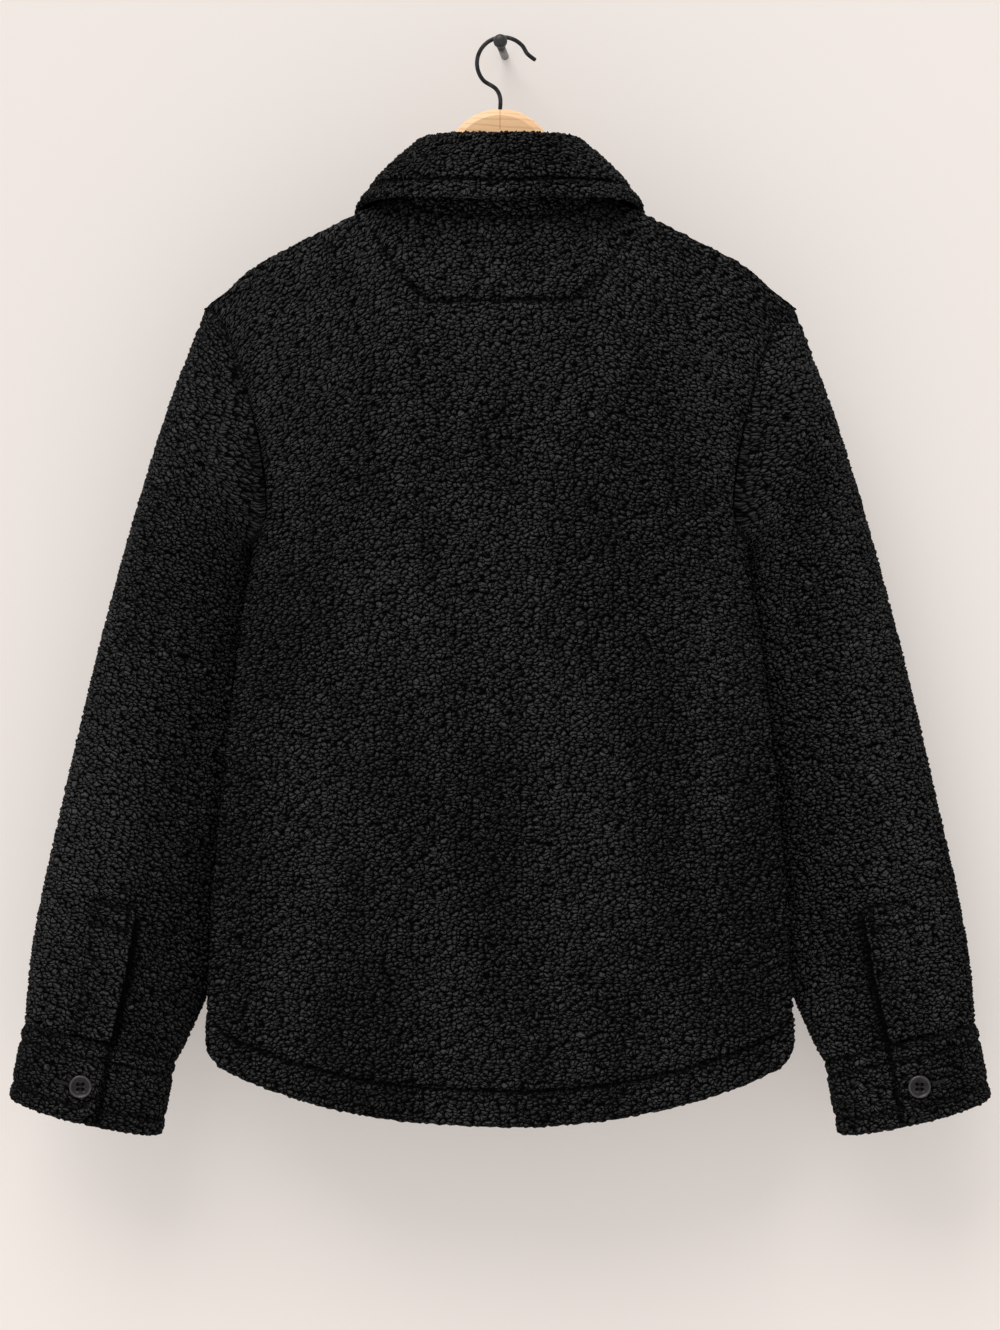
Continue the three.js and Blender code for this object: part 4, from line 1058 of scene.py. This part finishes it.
# Noise in the round, or flat for the cloth, whose pile coordinates have two directions
def noise(tree, place, scale, detail, flat=False, output=0, **more):
    inputs = {"Vector": place, "Scale": scale, "Detail": detail, **more}
    return addNode(tree, "ShaderNodeTexNoise", inputs, noise_dimensions="2D" if flat else "3D").outputs[output]


pileMake = {
    # nubs and the smaller curls on them, in millimetres; Edge is where a cell's height starts and stops to fall
    "nubWide": 4.3, "nubTall": 3.0, "nubScatter": 0.95, "nubEdge": (0.08, 0.8), "nubVaries": 0.3,
    "curlWide": 2.2, "curlTall": 1.7, "curlScatter": 1.0, "curlEdge": (0.05, 0.8), "curlShare": 0.38,
    "wander": 1.5, "wanderSize": 9.0, "clumpSize": 26.0, "fibreSize": 0.8, "fibreTwist": 0.6,
    "middle": 0.5, "pressedFlat": 0.85, "shadeDarkens": 0.95, "crevice": 0.18, "creviceLit": 0.1,
    # from and to values of the painted light and shade on the pile
    "heightLit": (0.0, 0.8, 0.25, 1.0), "facingLit": (-0.45, 0.45, 0.25, 1.6), "fibreLit": 0.5,
    "lightFrom": (-0.45, 0.85, 0.0), "depthOfTone": 2.1, "clumpTint": 0.5,
    "drapeWide": 75.0, "drapeTall": 260.0, "drapeLit": (0.3, 0.7, 0.55, 1.0),
    "downLit": (-850.0, -60.0, 0.78, 1.3),
}


# The cells of the nubs or the curls: their place, the nodes, a height and how far each faces the light
def pileCells(tree, place, kind):
    p = pileMake
    shrunk = vectorMaths(tree, "MULTIPLY", place, (1 / p[kind + "Wide"], 1 / p[kind + "Tall"], 0))
    inputs = {"Vector": shrunk, "Scale": 1.0, "Randomness": p[kind + "Scatter"]}
    cell = addNode(tree, "ShaderNodeTexVoronoi", inputs, voronoi_dimensions="2D")
    away = vectorMaths(tree, "SUBTRACT", shrunk, cell.outputs["Position"])
    facing = addNode(tree, "ShaderNodeVectorMath", {0: away, 1: p["lightFrom"]}, operation="DOT_PRODUCT")
    height = mapped(tree, cell.outputs["Distance"], *p[kind + "Edge"], 1.0, 0.0)
    return shrunk, cell, height, facing.outputs["Value"]


# The curled nubs of the pile, which the meshes and the material share: height from 0 to 1,
# a number for each nub, how far it faces the light, and its cell's place
def pileField(tree, coords):
    p = pileMake
    wander = noise(tree, coords, 1 / p["wanderSize"], 1.0, flat=True, output="Color")
    offset = vectorMaths(tree, "SUBTRACT", wander, (0.5, 0.5, 0.5))
    # the noise swings about a quarter either way
    offset = vectorMaths(tree, "SCALE", offset, scale=4 * p["wander"])
    place = vectorMaths(tree, "ADD", coords, offset)
    cells, big, nub, nubFacing = pileCells(tree, place, "nub")
    _, _, curl, curlFacing = pileCells(tree, place, "curl")
    number = addNode(tree, "ShaderNodeSeparateXYZ", {0: big.outputs["Color"]}).outputs[0]
    nub = maths(tree, "MULTIPLY", nub, maths(tree, "MULTIPLY_ADD", number, p["nubVaries"], 1 - p["nubVaries"]))

    def both(first, second):
        share = p["curlShare"]
        return maths(tree, "MULTIPLY_ADD", second, share, maths(tree, "MULTIPLY", first, 1 - share))
    return both(nub, curl), number, both(nubFacing, curlFacing), cells


# Raises the nubs on a mesh, then keeps the raised mesh
def raisePile(piece, amount):
    tree = bpy.data.node_groups.new("raisePile", "GeometryNodeTree")
    tree.interface.new_socket("Geometry", in_out="INPUT", socket_type="NodeSocketGeometry")
    tree.interface.new_socket("Geometry", in_out="OUTPUT", socket_type="NodeSocketGeometry")
    start, end = tree.nodes.new("NodeGroupInput"), tree.nodes.new("NodeGroupOutput")

    def named(name, kind):
        made = addNode(tree, "GeometryNodeInputNamedAttribute", {"Name": name}, data_type=kind)
        return made.outputs["Attribute"]
    height = pileField(tree, named("pileCoords", "FLOAT_VECTOR"))[0]
    shown = maths(tree, "SUBTRACT", 1.0, named("innerFace", "FLOAT"))
    free = maths(tree, "MULTIPLY_ADD", named("pressedAndShade", "FLOAT"), -pileMake["pressedFlat"], 1.0)
    lift = maths(tree, "SUBTRACT", height, pileMake["middle"])
    lift = maths(tree, "MULTIPLY", lift, maths(tree, "MULTIPLY", shown, free))
    lift = maths(tree, "MULTIPLY", lift, amount * toMetres)
    normal = addNode(tree, "GeometryNodeInputNormal").outputs[0]
    offset = addNode(tree, "ShaderNodeVectorMath", {0: normal, "Scale": lift}, operation="SCALE").outputs[0]
    moved = addNode(tree, "GeometryNodeSetPosition", {"Geometry": start.outputs[0], "Offset": offset})
    tree.links.new(moved.outputs[0], end.inputs[0])
    raised = piece.modifiers.new("pile", "NODES")
    raised.node_group = tree
    bpy.context.view_layer.update()
    mesh = bpy.data.meshes.new_from_object(piece.evaluated_get(bpy.context.evaluated_depsgraph_get()))
    piece.modifiers.clear()
    flat, piece.data = piece.data, mesh
    bpy.data.meshes.remove(flat)
    bpy.data.node_groups.remove(tree)
    mesh.name = piece.name


def newMaterial(name):
    material = bpy.data.materials.new(name)
    material.use_nodes = True
    tree = material.node_tree
    return material, tree, tree.nodes["Principled BSDF"]


# A shader group of plain values: inputs holds a starting value for each name
def newGroup(name, inputs, outputs):
    group = bpy.data.node_groups.new(name, "ShaderNodeTree")
    for label, value in inputs.items():
        socket = group.interface.new_socket(label, in_out="INPUT", socket_type="NodeSocketFloat")
        socket.default_value = value
    for label in outputs:
        group.interface.new_socket(label, in_out="OUTPUT", socket_type="NodeSocketFloat")
    return group, group.nodes.new("NodeGroupInput"), group.nodes.new("NodeGroupOutput")


def colourMix(tree, share, first, second):
    made = addNode(tree, "ShaderNodeMix", data_type="RGBA")
    for socket, value in ((made.inputs[0], share), (made.inputs[6], first), (made.inputs[7], second)):
        if isinstance(value, bpy.types.NodeSocket):
            tree.links.new(value, socket)
        else:
            socket.default_value = value
    return made.outputs[2]


def fineBump(tree, shader, height, strength, distance):
    bump = addNode(tree, "ShaderNodeBump", {"Strength": strength, "Distance": distance, "Height": height})
    tree.links.new(bump.outputs[0], shader.inputs["Normal"])


# Nubs, fibres and stitch lines of the pile, for the colour and the bump of a cloth material; the colour carries
# painted light and shade
def pileNubsGroup():
    group, start, end = newGroup("pileNubs", {"Fibre": 0.25}, ("Height", "Lit", "Tint", "Inside"))
    p = pileMake

    def attribute(name, output):
        return addNode(group, "ShaderNodeAttribute", attribute_name=name).outputs[output]
    coords = attribute("pileCoords", "Vector")
    pressedAndShade = attribute("pressedAndShade", "Fac")
    height, number, facing, cells = pileField(group, coords)
    inputs = {"Vector": cells, "Scale": 1.0, "Randomness": p["nubScatter"]}
    edge = addNode(group, "ShaderNodeTexVoronoi", inputs, voronoi_dimensions="2D",
                   feature="DISTANCE_TO_EDGE").outputs["Distance"]
    apart = mapped(group, edge, 0.0, p["crevice"])
    fibre = noise(group, coords, 1 / p["fibreSize"], 3.0, flat=True, Distortion=p["fibreTwist"])
    hanging = vectorMaths(group, "MULTIPLY", coords, (1 / p["drapeWide"], 1 / p["drapeTall"], 0))
    foldShade = noise(group, hanging, 1.0, 1.0, flat=True)
    clump = noise(group, coords, 1 / p["clumpSize"], 2.0, flat=True)
    down = addNode(group, "ShaderNodeSeparateXYZ", {0: coords}).outputs[1]

    full = maths(group, "MULTIPLY_ADD", fibre, start.outputs["Fibre"], height)
    full = maths(group, "MULTIPLY", full, maths(group, "MULTIPLY_ADD", pressedAndShade, -p["pressedFlat"], 1.0))
    # Painted light on the nubs: higher nubs and their sides towards the light are paler, the crevices between
    # them darker; the fibres vary it at random
    lit = mapped(group, height, *p["heightLit"])
    for factor in (maths(group, "ADD", fibre, p["fibreLit"]),
                   maths(group, "MULTIPLY_ADD", apart, 1 - p["creviceLit"], p["creviceLit"]),
                   mapped(group, facing, *p["facingLit"])):
        lit = maths(group, "MULTIPLY", lit, factor)
    lit = maths(group, "POWER", lit, p["depthOfTone"])
    # Painted shade: soft vertical fold bands, the lower cloth darker than the upper, and the pressed and shaded
    # places such as seams, stitch grooves and parts under others
    for factor in (mapped(group, foldShade, *p["drapeLit"]), mapped(group, down, *p["downLit"]),
                   maths(group, "MULTIPLY_ADD", pressedAndShade, -p["shadeDarkens"], 1.0)):
        lit = maths(group, "MULTIPLY", lit, factor)
    tint = maths(group, "MULTIPLY", clump, p["clumpTint"])
    tint = maths(group, "MULTIPLY_ADD", number, 1 - p["clumpTint"], tint)
    inside = attribute("innerFace", "Fac")
    for label, value in (("Height", full), ("Lit", lit), ("Tint", tint), ("Inside", inside)):
        group.links.new(value, end.inputs[label])
    return group


clothLook = {
    # The darkest colour is the painted shade of crevices and shaded places; tip and paleTip are the lit nub
    # tops, whose tone differs at random
    "shadeColour": (0.0004, 0.0004, 0.0004, 1), "tip": (0.0245, 0.0249, 0.0255, 1),
    "paleTip": (0.072, 0.073, 0.0745, 1), "inside": (0.006, 0.006, 0.0062, 1),
    "roughness": 0.6, "specular": 0.02, "fibre": 0.28, "bump": (0.9, 0.003),
    "sheen": 0.004, "sheenRoughness": 0.45, "sheenTint": (0.32, 0.31, 0.30, 1),
}


def clothMaterial(name, pileGroup, look):
    material, tree, shader = newMaterial(name)
    nubs = addNode(tree, "ShaderNodeGroup", {"Fibre": look["fibre"]}, node_tree=pileGroup)
    tip = colourMix(tree, nubs.outputs["Tint"], look["tip"], look["paleTip"])
    colour = colourMix(tree, nubs.outputs["Lit"], look["shadeColour"], tip)
    colour = colourMix(tree, nubs.outputs["Inside"], colour, look["inside"])
    tree.links.new(colour, shader.inputs["Base Color"])
    shader.inputs["Roughness"].default_value = look["roughness"]
    shader.inputs["Specular IOR Level"].default_value = look["specular"]
    shader.inputs["Sheen Weight"].default_value = look["sheen"]
    shader.inputs["Sheen Roughness"].default_value = look["sheenRoughness"]
    shader.inputs["Sheen Tint"].default_value = look["sheenTint"]
    fineBump(tree, shader, nubs.outputs["Height"], *look["bump"])
    return material


# In these looks, a Span is the part of a noise that counts, rough is how far the roughness swings about its
# value, and bump is a strength and a distance in metres
resinGrain = {
    "cloud": 260.0, "cloudSpan": (0.3, 0.75), "fine": 1900.0, "fineSpan": (0.3, 0.7), "rough": (-0.06, 0.1),
    "bump": (0.15, 0.0001),
}
buttonLook = {
    "colour": (0.010, 0.010, 0.0102, 1), "pale": (0.022, 0.0215, 0.021, 1), "roughness": 0.22, "specular": 0.2,
}
# The rim's paler colours are a painted highlight on its bead; its higher specular is real gloss
rimHighlightLook = {
    "colour": (0.018, 0.018, 0.0185, 1), "pale": (0.035, 0.0345, 0.034, 1), "roughness": 0.24, "specular": 0.6,
}
threadLook = {
    "button": (0.002, 0.002, 0.002, 1), "bar": (0.014, 0.014, 0.0143, 1), "roughness": 0.7, "specular": 0.1,
}
wireLook = {
    "dark": (0.020, 0.020, 0.021, 1), "pale": (0.055, 0.054, 0.053, 1), "metallic": 0.85, "roughness": 0.33,
    "smudge": 180.0, "smudgeRough": 0.6, "toneSpan": (0.35, 0.7), "roughSpan": (0.3, 0.75),
    "rough": (-0.07, 0.12), "bump": (0.2, 0.0001),
}
woodLook = {
    "pale": (1.0, 0.66, 0.37, 1), "middle": (0.98, 0.6, 0.31, 1), "line": (0.62, 0.32, 0.14, 1),
    "roughness": 0.42, "rough": 0.15, "roughSpan": (0.3, 0.8), "coat": 0.25, "coatRoughness": 0.3,
    "grainTurn": -24, "toneSpan": (0.3, 0.7), "bump": (0.25, 0.0002),
    "rings": {"Scale": 1.1, "Distortion": 5.0, "Detail": 2.0, "Detail Scale": 1.4},
    "ringScale": (9, 60, 60), "ringSpan": (0.72, 1.0), "ringShare": 0.35,
    "poreScale": (120, 2600, 2600), "poreSpan": (0.55, 0.8), "poreShare": 0.35,
}


def objectPlace(tree):
    return addNode(tree, "ShaderNodeTexCoord").outputs["Object"]


def buttonMaterial(name, look):
    material, tree, shader = newMaterial(name)
    g, base = resinGrain, look["roughness"]
    cloud = noise(tree, objectPlace(tree), g["cloud"], 3.0)
    fine = noise(tree, objectPlace(tree), g["fine"], 2.0)
    colour = colourMix(tree, mapped(tree, cloud, *g["cloudSpan"]), look["colour"], look["pale"])
    tree.links.new(colour, shader.inputs["Base Color"])
    rough = mapped(tree, fine, *g["fineSpan"], base + g["rough"][0], base + g["rough"][1])
    tree.links.new(rough, shader.inputs["Roughness"])
    shader.inputs["Specular IOR Level"].default_value = look["specular"]
    fineBump(tree, shader, fine, *g["bump"])
    return material


def threadMaterial(kind):
    material, _, shader = newMaterial(f"{kind}Thread")
    shader.inputs["Base Color"].default_value = threadLook[kind]
    shader.inputs["Roughness"].default_value = threadLook["roughness"]
    shader.inputs["Specular IOR Level"].default_value = threadLook["specular"]
    return material


def wireMaterial():
    material, tree, shader = newMaterial("hookWireMetal")
    w, base = wireLook, wireLook["roughness"]
    smudge = noise(tree, objectPlace(tree), w["smudge"], 4.0, Roughness=w["smudgeRough"])
    colour = colourMix(tree, mapped(tree, smudge, *w["toneSpan"]), w["dark"], w["pale"])
    tree.links.new(colour, shader.inputs["Base Color"])
    shader.inputs["Metallic"].default_value = w["metallic"]
    rough = mapped(tree, smudge, *w["roughSpan"], base + w["rough"][0], base + w["rough"][1])
    tree.links.new(rough, shader.inputs["Roughness"])
    fineBump(tree, shader, smudge, *w["bump"])
    return material


# Light wood whose grain runs along the arm, with fine pores and faint year lines
def woodMaterial():
    material, tree, shader = newMaterial("hangerWood")
    w = woodLook

    def alongArm(scale):
        turned = (0, math.radians(w["grainTurn"]), 0)
        inputs = {"Vector": objectPlace(tree), "Rotation": turned, "Scale": scale}
        return addNode(tree, "ShaderNodeMapping", inputs).outputs[0]
    wide = alongArm(w["ringScale"])
    sway = noise(tree, wide, 1.0, 2.0)
    rings = addNode(tree, "ShaderNodeTexWave", {"Vector": wide, **w["rings"]},
                    bands_direction="Z", wave_profile="SIN").outputs["Fac"]
    pores = noise(tree, alongArm(w["poreScale"]), 1.0, 2.0)
    colour = colourMix(tree, mapped(tree, sway, *w["toneSpan"]), w["pale"], w["middle"])
    lines = maths(tree, "MULTIPLY", mapped(tree, rings, *w["ringSpan"]), w["ringShare"])
    dots = maths(tree, "MULTIPLY", mapped(tree, pores, *w["poreSpan"]), w["poreShare"])
    colour = colourMix(tree, maths(tree, "ADD", lines, dots), colour, w["line"])
    tree.links.new(colour, shader.inputs["Base Color"])
    rough = mapped(tree, pores, *w["roughSpan"], w["roughness"], w["roughness"] + w["rough"])
    tree.links.new(rough, shader.inputs["Roughness"])
    shader.inputs["Coat Weight"].default_value = w["coat"]
    shader.inputs["Coat Roughness"].default_value = w["coatRoughness"]
    fineBump(tree, shader, pores, *w["bump"])
    return material


stageMake = {
    "wallY": 0.098, "wallHalf": 3.0, "floorZ": -1.9, "cameraY": -4.0, "cameraZ": -0.5004, "lens": 135.34,
    "wall": (0.575, 0.541, 0.52, 1), "wallWarm": (0.56, 0.526, 0.505, 1), "wallGlow": 0.36,
    "floor": (0.82, 0.79, 0.76, 1), "glowShare": 0.83, "roughness": 0.9, "specular": 0.1,
    "cloud": 1.6, "toneSpan": (0.3, 0.7), "grain": 420.0, "bump": (0.04, 0.0005),
    "sunFrom": (-0.45, -0.9, 1.35), "sunPower": 1.8, "sunSpread": 44.0, "sunColour": (1.0, 0.985, 0.97),
    "world": 0.68, "worldColour": (1.0, 0.975, 0.95, 1), "pegRoughness": 0.42,
}


# The wall is clear from behind, so that it never hides the part
def stageMaterial(name, first, second, seenFromBehind):
    material, tree, shader = newMaterial(name)
    s = stageMake
    cloud = noise(tree, objectPlace(tree), s["cloud"], 2.0)
    grain = noise(tree, objectPlace(tree), s["grain"], 2.0)
    colour = colourMix(tree, mapped(tree, cloud, *s["toneSpan"]), first, second)
    tree.links.new(colour, shader.inputs["Base Color"])
    shader.inputs["Roughness"].default_value = s["roughness"]
    shader.inputs["Specular IOR Level"].default_value = s["specular"]
    fineBump(tree, shader, grain, *s["bump"])
    if not seenFromBehind:
        # The wall glows a little: painted light that makes the shadows on it fainter
        shader.inputs["Emission Color"].default_value = first
        shader.inputs["Emission Strength"].default_value = s["wallGlow"] / first[0] * s["glowShare"]
        behind = addNode(tree, "ShaderNodeNewGeometry").outputs["Backfacing"]
        clear = addNode(tree, "ShaderNodeBsdfTransparent")
        both = addNode(tree, "ShaderNodeMixShader", {0: behind, 1: shader.outputs[0], 2: clear.outputs[0]})
        tree.links.new(both.outputs[0], tree.nodes["Material Output"].inputs["Surface"])
    return material


def stagePlane(name, corners, material):
    mesh = bpy.data.meshes.new(name)
    mesh.from_pydata(corners, [], [tuple(range(len(corners)))])
    plane = bpy.data.objects.new(name, mesh)
    scene.collection.objects.link(plane)
    mesh.materials.append(material)


def distantLight(name, fromPlace, power, spread, colour):
    light = bpy.data.lights.new(name, "SUN")
    light.energy, light.angle, light.color = power, math.radians(spread), colour
    lamp = bpy.data.objects.new(name, light)
    lamp.rotation_euler = (-Vector(fromPlace)).to_track_quat("-Z", "Y").to_euler()
    scene.collection.objects.link(lamp)


# The wall peg that the hook hangs on: x, y, z and radius along it
pegMake = [
    (4.0, 98, -1.5, 3.2), (1.0, -3, -6.6, 3.2), (0.5, -4.5, -3.4, 4.6), (0.3, -6.5, -2.6, 5.5),
    (0.2, -9, -2.2, 5.6), (0.1, -11.5, -2.0, 4.8), (0.0, -12.6, -2.0, 3.2), (0.0, -13, -2.0, 0.9),
]


def makePeg():
    work = bmesh.new()
    tube(work, [place[:3] for place in pegMake], [place[3] for place in pegMake], 32)
    peg = finishMesh("wallPeg", work)
    material, _, shader = newMaterial("pegPaint")
    shader.inputs["Base Color"].default_value = wireLook["dark"]
    shader.inputs["Roughness"].default_value = stageMake["pegRoughness"]
    peg.data.materials.append(material)


def makeStage():
    s = stageMake
    camera = bpy.data.objects.new("camera", bpy.data.cameras.new("camera"))
    camera.data.lens, camera.data.sensor_width, camera.data.sensor_fit = s["lens"], 36.0, "AUTO"
    camera.location = (0, s["cameraY"], s["cameraZ"])
    camera.rotation_euler = (math.pi / 2, 0, 0)
    scene.collection.objects.link(camera)
    scene.camera = camera
    y, w, f = s["wallY"], s["wallHalf"], s["floorZ"]
    stagePlane("wall", [(-w, y, f), (w, y, f), (w, y, w), (-w, y, w)],
               stageMaterial("wallPaint", s["wall"], s["wallWarm"], False))
    stagePlane("floor", [(-w, -w, f), (w, -w, f), (w, w, f), (-w, w, f)],
               stageMaterial("floorPaint", s["floor"], s["floor"], True))
    distantLight("keyLight", s["sunFrom"], s["sunPower"], s["sunSpread"], s["sunColour"])
    world = bpy.data.worlds.new("roomLight")
    world.use_nodes = True
    background = world.node_tree.nodes["Background"]
    background.inputs["Color"].default_value = s["worldColour"]
    background.inputs["Strength"].default_value = s["world"]
    scene.world = world
    scene.view_settings.view_transform = "Standard"


makeStage()
makePeg()
print("stage, camera and lights made")

pileGroup = pileNubsGroup()
blackPile = clothMaterial("blackPile", pileGroup, clothLook)
pileHeight = {"body": 2.8, "sleeve": 3.1, "collar": 3.1, "cuff": 2.2, "band": 1.8}  # millimetres

# Each cloth piece with the CAD node that it replaces, its pile and what carries it
clothPieces = [(makeBack(), "back", pileHeight["body"], ["hanger_left", "hanger_right"])]
print("back made")
clothPieces.append((makeFront("frontLeftPanel", -1), "front_left", pileHeight["body"], ["hanger_left"]))
clothPieces.append((makeFront("frontRightPanel", 1), "front_right", pileHeight["body"], ["hanger_right"]))
clothPieces.append((makeBand(), "front_band", pileHeight["band"], ["front_left", "front_right"]))
print("fronts and band made")
clothPieces.append((makeStand(), "collar_stand", pileHeight["band"], ["back"]))
clothPieces.append((makeFall(), "collar_fall", pileHeight["collar"], ["collar_stand"]))
print("collar made")
for sideName, side in sides:
    label, sleeve = sideName.capitalize(), f"sleeve_{sideName}"
    clothPieces.append((makeSleeve(f"sleeve{label}Tube", side), sleeve, pileHeight["sleeve"], ["back"]))
    clothPieces.append((makeCuff(f"cuff{label}Strip", side), f"cuff_{sideName}", pileHeight["cuff"], [sleeve]))
    placket = makePlacket(f"placket{label}Strip", side)
    clothPieces.append((placket, f"sleeve_placket_{sideName}", pileHeight["cuff"], [sleeve]))
print("sleeves, cuffs and plackets made")

total = 0
for piece, node, height, carriers in clothPieces:
    raisePile(piece, height)
    piece.data.materials.clear()
    piece.data.materials.append(blackPile)
    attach(piece, "root")
    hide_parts(node)
    triangles = sum(len(face.vertices) - 2 for face in piece.data.polygons)
    total += triangles
print(f"cloth pieces: {total} triangles")

buttons, sewing = makeButtons()
faceResin = buttonMaterial("buttonResin", buttonLook)
rimHighlightResin = buttonMaterial("buttonRimHighlightResin", rimHighlightLook)
for button in buttons:
    button.data.materials.append(faceResin)
    button.data.materials.append(rimHighlightResin)
for piece, kind in zip(sewing, ("button", "bar")):
    piece.data.materials.append(threadMaterial(kind))
print("buttons made")

wood = woodMaterial()
for sideName, _ in sides:
    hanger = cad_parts[f"hanger_{sideName}"]
    hanger.data.materials.clear()
    hanger.data.materials.append(wood)
hook = makeHook()
hook.data.materials.append(wireMaterial())
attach(hook, "root")
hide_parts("hook")
print("hanger and hook made")
